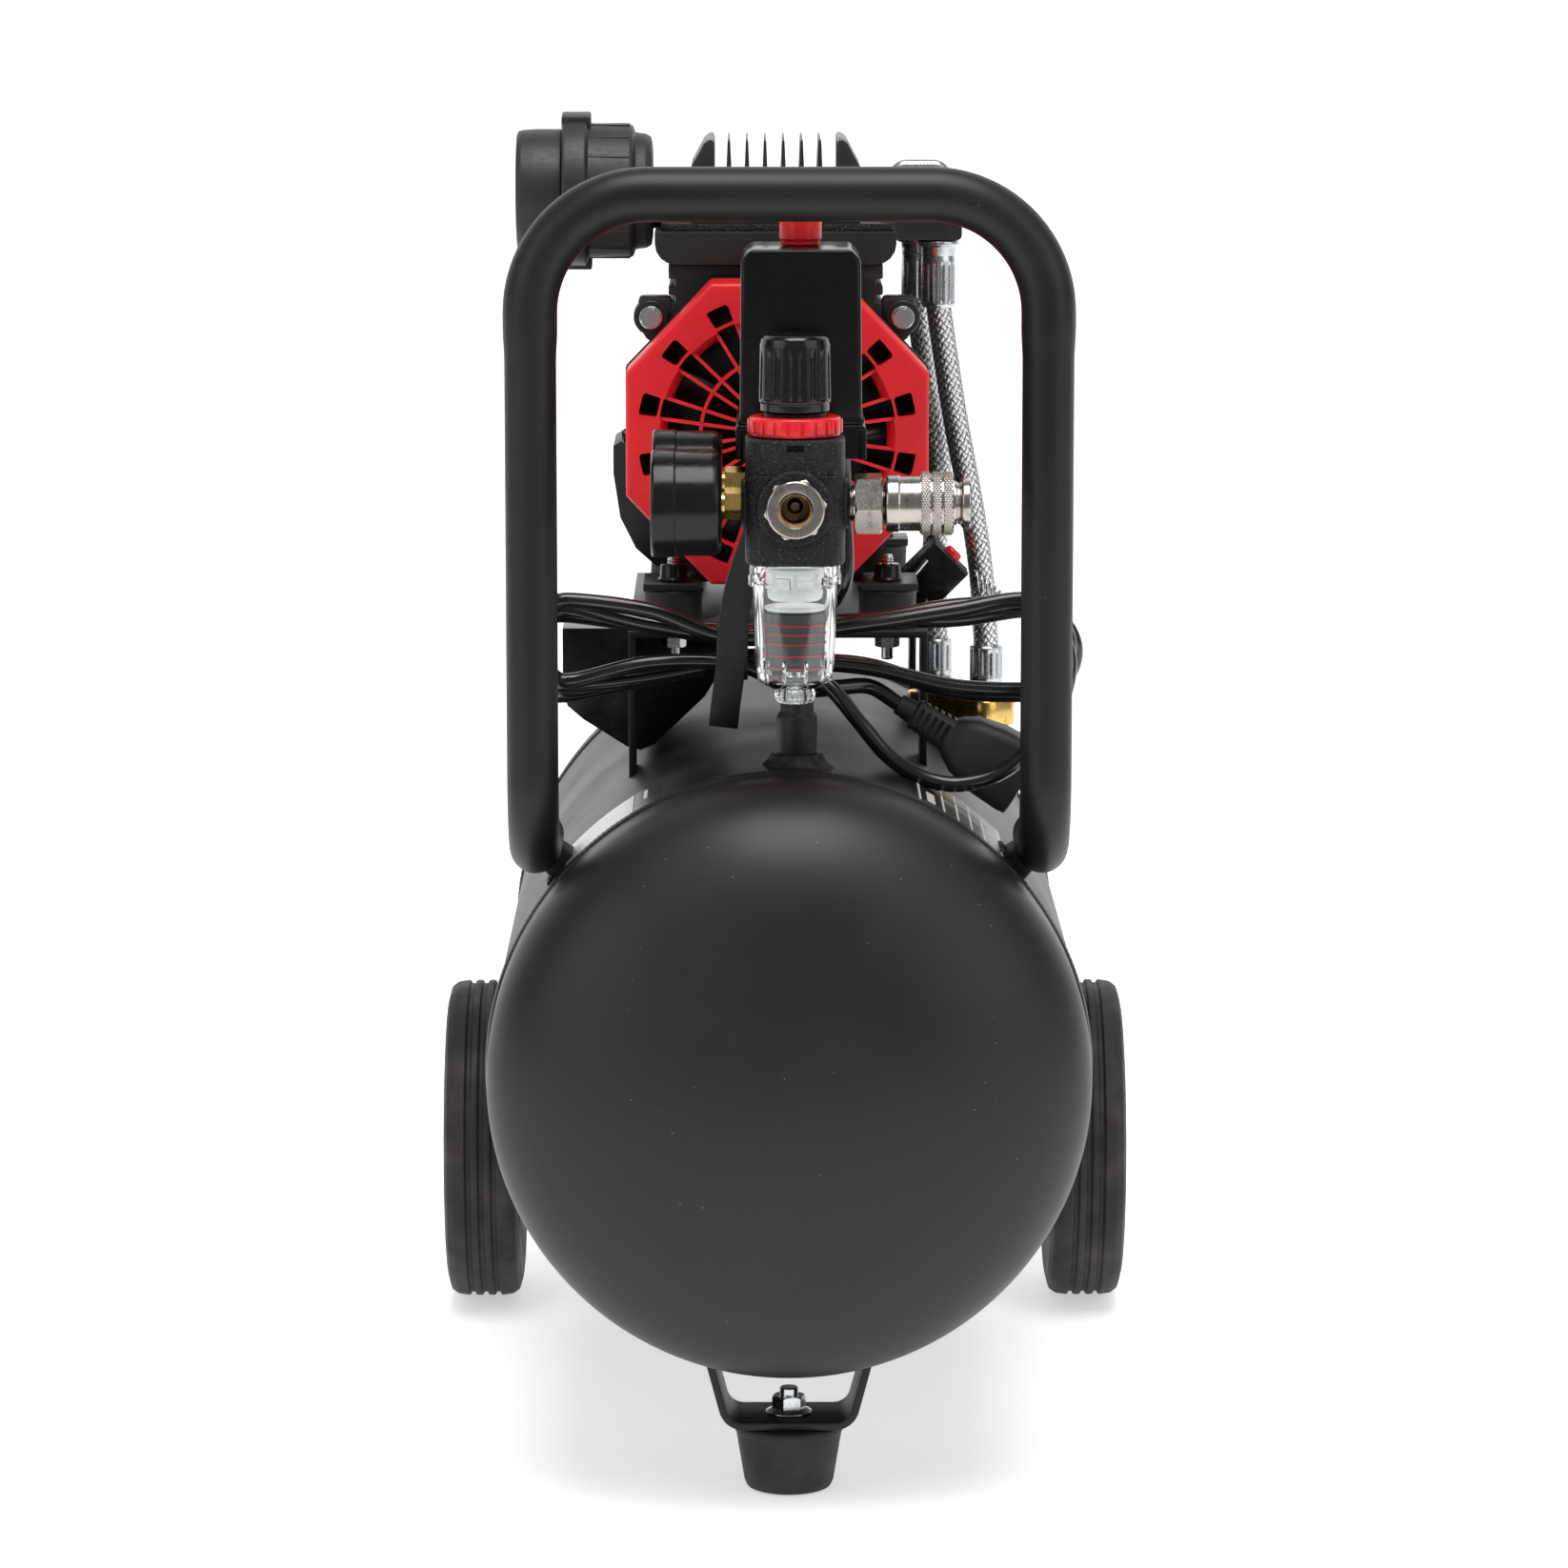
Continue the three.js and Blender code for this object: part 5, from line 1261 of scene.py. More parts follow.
def make_fan_cover():
    """Octagonal grille: two rings of windows, a ring and a hub held by thin ribs, and a dark sheet behind as
    painted shade.
    """
    front, back = COVER.low.y, COVER.high.y
    frame_piece = prism("cover", arc_corners(octagon(0), 3), "y", front, back, edge=1.6, segments=3)
    inside = prism("tool", arc_corners(octagon(2.6), 2), "y", front + 7, back + 1)
    slope = lathe("tool", [
        (0, front - 1), (51.3, front - 1), (50.7, front), (46.2, front + 9), (0, front + 9),
    ], "y", SHAFT, 168)
    tools = [inside, slope]
    for i in range(WINDOWS):
        middle = PITCH * (i + 0.5)
        tools.append(ring_sector("tool", 52.3, 60.2, middle, WINDOW_HALF, front - 2, front + 9, 2.2, 0.55))
        tools.append(ring_sector("tool", 44, 51.1, middle, WINDOW_HALF, front - 2, front + 9, 0, 0.55))
    carved(frame_piece, *tools)

    def rib():
        return box("rib", (10, 51.8), (front + 1.6, front + 5.2), (-RIB / 2, RIB / 2), 0.25)

    web = []
    for side in (-1, 1):
        web += around(WINDOWS, rib, SHAFT, "Y", PITCH / 2 + side * WINDOW_HALF)
    web.append(lathe("ring", [
        (32.2, front + 1.4), (33.7, front + 1.4), (33.7, front + 5.4), (32.2, front + 5.4),
    ], "y", SHAFT, 168))
    web.append(lathe("hub", [
        (0, front + 1), (11.4, front + 1), (12, front + 1.6), (12, front + 6), (0, front + 6),
    ], "y", SHAFT, 72, soft=0.4))
    stands_for(merged("fan_grille", [frame_piece, *web]), "fan_cover")
    # A dark sheet just behind the grille: painted shade for the dark inside of the cover, seen through the
    # windows.
    shade_sheet = prism("fan_shade_sheet", arc_corners(octagon(-0.7), 3), "y", back + 0.05, back + 1.6, edge=0.4)
    carved(shade_sheet, rod("tool", 8, back - 1, back + 3, "y", SHAFT))
    added(shade_sheet, "fan_cover", "black_plastic")
    for side, name in ((-1, "left"), (1, "right")):
        edge = SHAFT[0] + side * COVER.size.x / 2
        head = [(0, -1), (3, -1), (3, 1.2), (2.2, 2), (0, 2)]
        profile = [(r, edge + side * x) for r, x in head]
        screw = lathe(f"cover_screw_{name}", profile, "x", (0, front + 16, SHAFT[2] - 2), 32)
        added(screw, "fan_cover", "black_plastic")


def make_fan():
    """Seven twisted blades on a hub."""
    fan = Spot("fan")
    middle, depth = fan.mid.y, fan.size.y
    hub = lathe("hub", [
        (7.3, -depth / 2), (12, -depth / 2), (13, -depth / 2 + 1.5), (13, depth / 2), (7.3, depth / 2),
    ], "y", (0, 0, 0), 64, soft=0.5)

    def blade():
        bm = bmesh.new()
        rows = []
        for step in range(9):
            radius = 11.5 + 40 * step / 8
            pitch = math.radians(62 - 26 * step / 8)
            half = 7.5 + 2.5 * math.sin(math.pi * step / 8)
            row = []
            for u, lift in ((-1, 0.5), (0, 1.0), (1, 0.5), (1, -0.5), (0, -0.1), (-1, -0.5)):
                row.append(bm.verts.new((
                    radius, half * u * math.sin(pitch) * 0.9,
                    half * u * math.cos(pitch) + lift + 1.4 * (1 - u * u),
                )))
            rows.append(row)
        skinned(bm, rows)
        return to_piece("blade", bm)

    rotor = merged("fan_blades", [hub, *around(7, blade, (0, 0, 0), "Y")])
    stands_for(turned(rotor, (SHAFT[0], middle, SHAFT[2]), 0), "fan")


make_fan_cover()
make_fan()


# ---- cylinder head -----------------------------------------------------------------------------
HEAD = Spot("cylinder_head")
HEAD_FLOOR = 536
STOUT = 10.1
THIN_FINS, FIN_PITCH, FIN_START = 6, 7.94, 7.4


def make_head():
    """Two stout fins with cut-off outer corners, and six thin ones that taper to an edge."""
    left, right, base, top = HEAD.low.x, HEAD.high.x, HEAD.low.z, HEAD.high.z
    front, back = HEAD.low.y, HEAD.high.y
    bed = box("bed", (left, right), (front, back), (base, HEAD_FLOOR), 0.8)
    parts = [bed]
    for side, edge in ((1, left), (-1, right)):
        outline = [
            (0, HEAD_FLOOR - 1), (0, top - 12), (5.4, top - 1.8), (7.6, top),
            (STOUT - 0.8, top), (STOUT, top - 1), (STOUT, HEAD_FLOOR - 1),
        ]
        outline = [(edge + side * x, z) for x, z in outline]
        parts.append(prism("stout_fin", outline, "y", front, back, edge=0.7))
        across = sorted((edge + side * 0.6, edge + side * (STOUT - 0.2)))
        parts.append(box("lump", across, (front - 1.2, front + 3), (HEAD_FLOOR - 4, HEAD_FLOOR + 4.5), 1.0))
    for fin in range(THIN_FINS):
        x = right - STOUT - FIN_START - fin * FIN_PITCH
        outline = [
            (x - 1.6, HEAD_FLOOR - 1), (x - 1.25, HEAD_FLOOR + 2), (x - 0.45, top - 0.6), (x, top - 0.1),
            (x + 0.45, top - 0.6), (x + 1.25, HEAD_FLOOR + 2), (x + 1.6, HEAD_FLOOR - 1),
        ]
        parts.append(prism("thin_fin", outline, "y", front + 0.4, back - 0.4, edge=0.15, segments=1))
    stands_for(merged("head_casting", parts), "cylinder_head")


def make_head_pipes():
    """Short dark pipes that leave the head at both sides, and the plated elbow at its upper right."""
    high, low = HEAD_FLOOR - 0.4, HEAD_FLOOR - 3.8
    for name, from_x, to_x, radius, z in (
        ("pipe_left", -58, -41.2, 2.4, high), ("pipe_left_low", -63, -41.2, 1.5, low),
        ("pipe_right", 31.7, 55, 2.2, high),
    ):
        pipe = rod(name, radius, from_x, to_x, "x", (0, 34, z), 24, 0.3)
        added(pipe, "cylinder_head", "black_plastic")
    elbow = with_bends([(48, 34, 536), (48, 34, 543), (70, 34, 543), (70, 34, 536)], [5, 5], 0.8)
    added(sweep("head_elbow", elbow, 3.2, 24), "valve_block", "zinc_steel")


make_head()
make_head_pipes()


# ---- intake filter -----------------------------------------------------------------------------
FILTER_CAP = Spot("filter_cap")
FILTER_CENTRE = (0, FILTER_CAP.mid.y, FILTER_CAP.mid.z)


def make_filter():
    """A cap with a ring of holes, and a ribbed housing with two tabs and a neck into the head."""
    left, split = FILTER_CAP.low.x, FILTER_CAP.high.x
    cap = lathe("filter_dome", [
        (0, left + 0.8), (20, left + 0.5), (24.6, left), (26.0, left + 0.7), (26.6, left + 2.4),
        (27, left + 8), (27, split), (23.6, split), (23.2, left + 4), (0, left + 4),
    ], "x", FILTER_CENTRE, 112, soft=0.4)
    holes = around(8, lambda: rod("tool", 2.2, left - 2, left + 6, "x", (0, 14, 0), 20), FILTER_CENTRE, "X")
    carved(cap, *holes)
    stands_for(cap, "filter_cap")
    start = split + 0.5
    right = -66.4
    body = lathe("filter_body", [
        (26.2, start), (32, start), (32.7, start + 0.8), (32.8, start + 10), (31.8, start + 10.8),
        (29.6, start + 11.2), (29.2, right - 2), (28.4, right - 0.6), (26.8, right), (25.6, right + 0.4),
        (25, right + 5), (23.6, right + 7.4), (20, right + 8), (0, right + 8), (0, right - 3),
        (25.6, right - 3),
    ], "x", FILTER_CENTRE, 112, soft=0.5)
    neck_end = HEAD.low.x - 0.3
    neck = lathe("neck", [
        (4.6, right + 7), (9, right + 7), (9, right + 12), (7, right + 12.6), (7, neck_end), (4.6, neck_end),
    ], "x", (0, FILTER_CENTRE[1], 526), 48, soft=0.4)

    def tab():
        return box("tab", (start - 0.4, start + 12.5), (-6.5, 6.5), (28.5, 34.1), 0.9)

    def rib():
        return box("rib", (start + 10, right - 2), (-0.7, 0.7), (28.5, 29.8), 0.3)

    tabs = around(2, tab, FILTER_CENTRE, "X", math.radians(9))
    ribs = around(16, rib, FILTER_CENTRE, "X", TAU / 32)
    stands_for(merged("filter_body", [body, neck, *tabs, *ribs]), "filter_housing")


make_filter()


# ---- small cases -------------------------------------------------------------------------------
OVERLOAD = Spot("overload_case")
DIAMOND = Vector((66, 28, 363.8))


def make_overload():
    """The case of the overload cut-out, set on its corner, with ribs round it and a bright lead-out rod."""
    case = from_node("cutout_case", "overload_case", 1.2)
    eighth = math.pi / 4
    low, high = OVERLOAD.low.y, OVERLOAD.high.y
    middle = (DIAMOND.x, 0, DIAMOND.z)
    starts = [low + 4 + 5 * i for i in range(5)]
    ribs = [box("rib", (-10.5, 10.5), (y, y + 1.6), (-10.5, 10.5), 0.4) for y in starts]
    ribs = turned(merged("cutout_ribs", ribs), middle, eighth, "Y")
    hollow = turned(box("tool", (-8, 8), (low + 2.4, high - 2.4), (-8, 8)), middle, eighth, "Y")
    hole = turned(rod("tool", 4.5, -2, 24, "x", turns=32), DIAMOND, -eighth, "Y")
    carved(ribs, hole, hollow)
    stands_for(merged("cutout_case", [case, ribs]), "overload_case")
    profile = [(0, 3.5), (4, 3.5), (4, 12.4), (3.2, 13.4), (0, 13.5)]
    button = lathe("cutout_button", profile, "x", turns=40, soft=0.3)
    stands_for(turned(button, DIAMOND, -eighth, "Y"), "reset_button")
    rod_path = evenly([Vector((46, 10, 352)), Vector((62, 8, 371.5))], 3)
    added(sweep("cutout_rod", rod_path, 0.9, 14), "overload_case", "zinc_steel")
    coil = []
    for k in range(150):
        turn = TAU * k / 24
        middle = Vector((84 + 0.09 * k, 30, 361 - 0.075 * k))
        coil.append(middle + 3.2 * (AXES["y"] * math.cos(turn) + AXES["z"] * math.sin(turn)))
    added(sweep("cutout_spring", coil, 0.65, 10), "overload_case", "zinc_steel")


make_overload()
stands_for(from_node("capacitor_shell", "capacitor_case", 2.2, 4), "capacitor_case")


# ---- hoses -------------------------------------------------------------------------------------
HOSE_FRONT = [(67, 22, 484), (74.2, 30, 437), (82.5, 38, 393), (87.5, 44, 360), (90, 50, 326)]
HOSE_REAR = [
    (58.7, 45, 484), (63, 47, 450), (68.2, 50, 413), (67, 60, 369), (67.5, 73, 342), (68, 75, 326),
]
HOSE_RADIUS = 5.2
STRANDS = 10
BRAID_SIDES = 130
UPPER_NUT, LOWER_NUT = 511.7, 304.3


def weave_at(run, angle):
    """How high the wires stand at this place on a hose: two sets of strands, over and under in turn."""
    across = STRANDS * angle / TAU
    along = run / 3.7
    first, second = across + along, across - along
    over_first = (math.floor(first) + math.floor(second)) % 2 == 0
    share = (first if over_first else second) % 1.0
    return math.sin(math.pi * share) ** 0.7


def make_hose(name, node, points, crimp):
    """A braided hose with a crimped ferrule and a nut at each end."""
    start, end = points[0], points[-1]
    run = [(start[0], start[1], start[2] + 8), *points, (end[0], end[1], end[2] - 8)]
    path = spline(run, 0.45)

    def braided(step, length, angle):
        return HOSE_RADIUS + 0.42 * weave_at(length, angle)

    hose = sweep(f"{name}_braid", path, braided, BRAID_SIDES)
    # The wires' height, which the braid's finish turns into painted shade between them.
    weave = hose.data.attributes.new("weave", "FLOAT", "POINT")
    spacing = [0.0]
    for first, second in zip(path, path[1:]):
        spacing.append(spacing[-1] + (second - first).length)
    for step, length in enumerate(spacing):
        for k in range(BRAID_SIDES):
            weave.data[step * BRAID_SIDES + k].value = weave_at(length, TAU * k / BRAID_SIDES)
    stands_for(hose, node)
    for end_name, at, nut, side in (("upper", start, UPPER_NUT, -1), ("lower", end, LOWER_NUT, 1)):
        edge = at[2] + side * 2

        def slots(angle, along):
            inside = 1.2 < abs(along - nut) - 9 < abs(edge - nut) - 11
            return -0.7 * max(0.0, math.cos(crimp * angle)) ** 6 if inside else 0.0

        first = nut + side * 8
        rows = [(7.5, first + (edge - first) * k / 24) for k in range(1, 24)]
        ferrule = lathe(f"{name}_ferrule_{end_name}", [
            (0, nut + side * 6), (7.2, nut + side * 7), *rows, (6.9, edge), (5.5, edge), (0, edge),
        ], "z", (at[0], at[1], 0), 96, ripple=slots)
        added(ferrule, node, "zinc_steel")
        flange = lathe(f"{name}_nut_{end_name}", [
            (0, nut), (8.8, nut), (9.4, nut + side * 0.6), (9.4, nut + side * 2.2), (7.6, nut + side * 3),
            (7.4, nut + side * 7), (0, nut + side * 7.4),
        ], "z", (at[0], at[1], 0), 64, soft=0.3)
        added(flange, node, "zinc_steel")


make_hose("front", "hose_front", HOSE_FRONT, 14)
make_hose("rear", "hose_rear", HOSE_REAR, 8)
stands_for(from_node("valve_brass", "check_valve", 0.9), "check_valve")


# ---- riser, safety valve and pressure switch ----------------------------------------------------
SWITCH = Spot("switch_cover")
SWITCH_BASE = Spot("switch_base")
KNOB_TOP = Spot("switch_knob")


def make_riser():
    """The riser pipe, and the safety valve on its front with a pull ring."""
    stands_for(from_node("riser_pipe", "riser", 0.8), "riser")
    centre = (RISER_X, 0, 417)
    valve = merged("safety_body", [
        hexagon("hex", 9.4, -133, -126, "y", centre, 1.0),
        lathe("barrel", [
            (2.7, -126.5), (7.2, -126.5), (7.4, -125.5), (7.4, -118.6), (6.6, -117.6), (2.7, -117.6),
        ], "y", centre, 48, soft=0.3),
    ])
    added(valve, "riser", "brass")
    ring = Spot("safety_ring")
    hoop = [
        Vector((RISER_X, ring.high.y - 8 + 6.8 * math.cos(TAU * k / 64), 417 + 6.8 * math.sin(TAU * k / 64)))
        for k in range(65)
    ]
    stem = lathe("stem", [
        (0, -125.8), (2.1, -125.8), (2.1, -112), (3, -111.4), (3, -109.4), (0, -109),
    ], "y", centre, 32, soft=0.2)
    stands_for(merged("pull_ring", [sweep("hoop", hoop, 1.15, 16), stem]), "safety_ring")


def make_switch():
    """Cover with chamfered shoulders and softened front edges, above a wider base with corner posts."""
    x = SWITCH.mid.x
    low, high = SWITCH.low, SWITCH.high
    half = SWITCH.size.x / 2 - 0.6
    top = high.z

    def outline(inset, bottom):
        return [
            (x - half - 0.6 + inset, bottom), (x + half + 0.6 - inset, bottom),
            (x + half - inset, top - 4 - inset), (x + half - 4 - inset, top - inset),
            (x - half + 4 + inset, top - inset), (x - half + inset, top - 4 - inset),
        ]

    cover = prism("cover", outline(0, low.z), "y", low.y, high.y, edge=1.8, segments=4)
    carved(
        cover,
        prism("tool", outline(2.2, low.z - 2), "y", low.y + 2.2, high.y - 2.2),
        rod("tool", 4.4, top - 8, top + 4, "z", (x, RISER_Y, 0), 32),
    )
    lip = box(
        "lip", (x - half - 1.6, x + half + 1.6), (low.y - 0.9, high.y + 0.9), (low.z, low.z + 2.6),
        edge=0.6, corner=2, axis="z",
    )
    lip_hole = box("tool", (x - half + 1, x + half - 1), (low.y + 2, high.y - 2), (low.z - 1, low.z + 4))
    carved(lip, lip_hole)
    pin = [(0, top - 0.5), (0.8, top - 0.5), (0.8, top + 1), (0, top + 1.2)]
    pins = [lathe("pin", pin, "z", (x + dx, RISER_Y - 11, 0), 16) for dx in (-6.5, 6.5)]
    stands_for(merged("switch_box", [cover, lip, *pins]), "switch_cover")
    base = from_node("collar", "switch_base", 0.8)
    posts = []
    for px in (SWITCH_BASE.low.x + 1.6, SWITCH_BASE.high.x - 1.6):
        for py in (SWITCH_BASE.low.y + 1.4, SWITCH_BASE.high.y - 7):
            posts.append(box("post", (px - 1.7, px + 1.7), (py - 1.5, py + 1.5), (434.9, 447.5), 0.5))
    stands_for(merged("switch_collar", [base, *posts]), "switch_base")
    under, tip = top + 0.3, KNOB_TOP.high.z
    knob = lathe("switch_button", [
        (0, under - 20), (4, under - 20), (4, under), (7.6, under), (8.2, under + 0.5),
        (8.2, under + 2), (8.8, under + 2.6), (8.8, tip - 2), (7.4, tip - 0.4), (6.6, tip), (0, tip),
    ], "z", (x, RISER_Y, 0), 80, soft=0.4)
    stands_for(knob, "switch_knob")


make_riser()
make_switch()


# ---- filter-regulator ----------------------------------------------------------------------------
BODY = Spot("regulator_body")
RX, RY = 2.2, -208
BODY_HALF, BODY_TOP, BODY_BOTTOM = 20.2, 447.5, 396.3
PORT_Z = 420
LOCK = Spot("regulator_ring")
KNOB = Spot("regulator_knob")
BOWL = Spot("bowl")
STACK = (RX, RY, 0)


def make_regulator_body():
    """A square casting with a rounded belly, and a boss on each face that carries something."""
    body = box(
        "regulator_casting", (RX - BODY_HALF, RX + BODY_HALF), (RY - BODY_HALF, RY + BODY_HALF),
        (BODY_BOTTOM, BODY_TOP), edge=1.4, corner=12, axis="z", segments=3,
    )
    front = RY - BODY_HALF
    belly = lathe("belly", [
        (0, BODY_BOTTOM + 1), (17, BODY_BOTTOM + 1), (19.6, BODY_BOTTOM + 4), (20.5, PORT_Z - 8),
        (20.7, PORT_Z), (20.5, PORT_Z + 8), (19.6, BODY_TOP - 4), (17.4, BODY_TOP - 1), (0, BODY_TOP - 1),
    ], "z", STACK, 96, soft=3)
    bonnet = lathe("bonnet", [
        (0, BODY_TOP - 1), (12.6, BODY_TOP - 1), (12.6, 456.9), (12, 457.4), (4.5, 457.4), (4.5, 472),
        (0, 472),
    ], "z", STACK, 72, soft=0.3)
    front_boss = lathe("boss", [
        (0, front + 4), (16.4, front + 4), (15.4, front - 1.2), (14.4, front - 1.8), (0, front - 1.8),
    ], "y", (RX, 0, PORT_Z), 72, soft=0.8)
    bosses = [bonnet, front_boss]
    for side in (-1, 1):
        face = RX + side * BODY_HALF
        bosses.append(lathe("boss", [
            (0, face - side * 6), (11.6, face - side * 6), (10.8, face + side * 0.2),
            (9.6, face + side * 1.6), (0, face + side * 1.8),
        ], "x", (0, RY, PORT_Z), 64, soft=0.8))
    seam = (PORT_Z + 12.4, PORT_Z + 13.2)
    bosses.append(box("seam", (RX - 17, RX + 17), (front - 0.5, front + 3), seam, 0.3))
    body = fused(body, belly, *bosses)
    carved(
        body,
        rod("tool", 7, front - 9, front + 12, "y", (RX, 0, PORT_Z)),
        rod("tool", 13, BODY_BOTTOM - 2, BODY_BOTTOM + 8, "z", STACK),
        box("tool", (RX - 3.4, RX + 3.4), (front - 4, front + 2.2), (BODY_TOP - 4.6, BODY_TOP - 2), 0.3),
    )
    stands_for(body, "regulator_body")


def make_port():
    """The plated hexagon in the front port: round face, threaded brass inside."""
    front = BODY.low.y
    centre = (RX, 0, PORT_Z)
    nut = hexagon("port_nut", 12.9, front + 2, front + 8.6, "y", centre, 1.7, 0.18)
    face = lathe("face", [
        (7.2, front), (11.2, front), (11.8, front + 0.6), (11.9, front + 2.6), (7.2, front + 3),
    ], "y", centre, 96, soft=0.3)
    carved(nut, rod("tool", 7.1, front - 2, front + 10, "y", centre, 64))
    added(merged("port_nut", [nut, face]), "regulator_body", "nickel")

    def thread(angle, along):
        return 0.32 * math.sin(TAU * along / 1.3 + angle)

    rows = [(6.3, front + 1.2 + 0.22 * k) for k in range(76)]
    lining = lathe("port_thread", [
        (6.95, front + 0.6), *rows, (6.3, front + 18), (3, front + 18), (3, front + 19), (6.95, front + 19),
    ], "y", centre, 72, ripple=thread)
    added(lining, "regulator_body", "brass_darker")
    core = lathe("port_core", [
        (0, front + 14.5), (1.8, front + 14.5), (2.4, front + 15.4), (3.4, front + 18.4), (0, front + 18.6),
    ], "y", centre, 32)
    added(core, "regulator_body", "brass_darker")


def make_lock_ring():
    """A band with raised pads round it, narrow gaps between them."""
    bottom, top = LOCK.low.z, LOCK.high.z
    band = lathe("band", [
        (13, bottom), (17.8, bottom), (18.4, bottom + 0.4), (18.5, bottom + 1), (18.5, top - 1),
        (18.2, top - 0.4), (17.4, top), (13, top),
    ], "z", STACK, 120, soft=0.3)

    def pad():
        return box("pad", (17.8, 19.3), (-2.05, 2.05), (bottom + 1.2, top - 1.1), 0.35)

    pads = around(22, pad, STACK, offset=TAU / 44)
    stands_for(merged("lock_band", [band, *pads]), "regulator_ring")


def make_pressure_knob():
    """Shallow flutes between a plain neck and a domed top."""
    bottom, top = KNOB.low.z, KNOB.high.z

    def flutes(angle, along):
        if not bottom + 4.6 < along < top - 5.2:
            return 0.0
        blend = min(1.0, (along - bottom - 4.6) / 1.2, (top - 5.2 - along) / 4)
        return -0.6 * blend * max(0.0, math.cos(18 * angle))

    rows = [(14.7 - 0.015 * k, bottom + 4.4 + (top - bottom - 9.2) * k / 30) for k in range(31)]
    knob = lathe("pressure_grip", [
        (12.3, bottom), (14.1, bottom), (14.1, bottom + 3.2), (14.6, bottom + 3.8), *rows, (14.2, top - 4),
        (13.9, top - 3.4), (13.6, top - 1.8), (12.2, top - 0.5), (9, top), (0, top), (0, top - 5),
        (12.3, top - 5),
    ], "z", STACK, 216, ripple=flutes, soft=0.5)
    stands_for(knob, "regulator_knob")


def make_bowl():
    """Clear bowl with a collar, a white baffle above and a smoked sleeve with fine red lines in it."""
    bottom, top = BOWL.low.z, BOWL.high.z
    cup = lathe("clear_cup", [
        (18.2, top), (18.5, top - 0.6), (18.5, top - 6.4), (17.8, top - 7.4), (17.2, top - 8),
        (16.8, top - 24), (16, bottom + 9), (15.4, bottom + 5), (13.4, bottom + 1.6), (10.6, bottom),
        (4.9, bottom), (4.9, bottom + 2.4), (9.8, bottom + 2.6), (12.2, bottom + 3.8), (13.2, bottom + 6),
        (14, top - 24), (14.6, top - 8), (15, top),
    ], "z", STACK, 96, soft=0.8)
    tabs = around(6, lambda: box("tab", (17.6, 19), (-3, 3), (top - 9.5, top - 4.6), 0.6), STACK, "Z", 0.26)
    ribs = around(10, lambda: box("rib", (12.4, 15.2), (-0.5, 0.5), (bottom + 2.4, bottom + 12), 0.3), STACK)
    stands_for(merged("clear_cup", [cup, *tabs, *ribs]), "bowl")
    # The baffle and the disc under it glow faintly: painted light for what reaches them through the clear bowl.
    baffle = lathe("bowl_baffle", [
        (0, top - 15), (9.6, top - 15), (11, top - 14), (11.4, top - 11), (9.8, top - 9.6),
        (9.8, top - 6), (11.6, top - 4.6), (11.6, top - 2.4), (0, top - 2.4),
    ], "z", STACK, 72, soft=0.4)
    fins = around(8, lambda: box("fin", (9, 12), (-0.9, 0.9), (top - 10.4, top - 4), 0.3), STACK)
    added(merged("bowl_baffle", [baffle, *fins]), "regulator_body", "glowing_white_plastic")
    collar = lathe("bowl_disc", [
        (0, top - 19.4), (11, top - 19.4), (12.4, top - 18.6), (12.4, top - 17.4), (4, top - 16.4),
        (0, top - 16.4),
    ], "z", STACK, 72, soft=0.4)
    added(collar, "regulator_body", "glowing_white_plastic")
    film = lathe("bowl_film", [
        (11.4, bottom + 8), (12, bottom + 8), (12.4, top - 20.4), (11.8, top - 20.4),
    ], "z", STACK, 96)
    added(film, "bowl", "film")
    for i, z in enumerate((353.5, 358.6, 363.4, 367.4, 371)):
        line = lathe(f"bowl_line{i}", [
            (12.35, z), (12.75, z), (12.75, z + 0.7), (12.35, z + 0.7),
        ], "z", STACK, 96)
        added(line, "bowl", "print_red")


def make_drain():
    """The knurled drain screw under the bowl."""
    spot = Spot("bowl_drain")
    top = BOWL.low.z

    def knurl(angle, along):
        return 0.35 * math.cos(14 * angle)

    screw = merged("drain_hex", [
        lathe("head", [
            (1.6, spot.low.z), (6.4, spot.low.z), (7.6, spot.low.z + 1.4), (7.9, spot.low.z + 2),
            (7.9, top - 2.4), (7.2, top - 0.4), (1.6, top - 0.4),
        ], "z", STACK, 112, ripple=knurl, soft=0.4),
        lathe("stem", [(1.6, top - 0.6), (4.2, top - 0.6), (4.2, top + 7), (1.6, top + 7)], "z", STACK, 40),
    ])
    stands_for(screw, "bowl_drain")


make_regulator_body()
make_port()
make_lock_ring()
make_pressure_knob()
make_bowl()
make_drain()


# ---- gauges ------------------------------------------------------------------------------------
DIAL_X, BACK_X = -56.2, -27.5
SWEEP_START, SWEEP_END = math.radians(-135), math.radians(135)


def on_dial(radius, angle, y, z):
    """A place on a dial seen from the left: angle from straight up, clockwise."""
    return (y - radius * math.sin(angle), z + radius * math.cos(angle))


def swept_to(share):
    """The angle at this share of the scale."""
    return SWEEP_START + (SWEEP_END - SWEEP_START) * share


def dial_mark(x, y, z, angle, inner, outer, width):
    """A flat stroke on a dial, from one radius to another."""
    return turned(box("mark", (x - 0.12, x), (-width / 2, width / 2), (inner, outer)), (0, y, z), angle, "X")


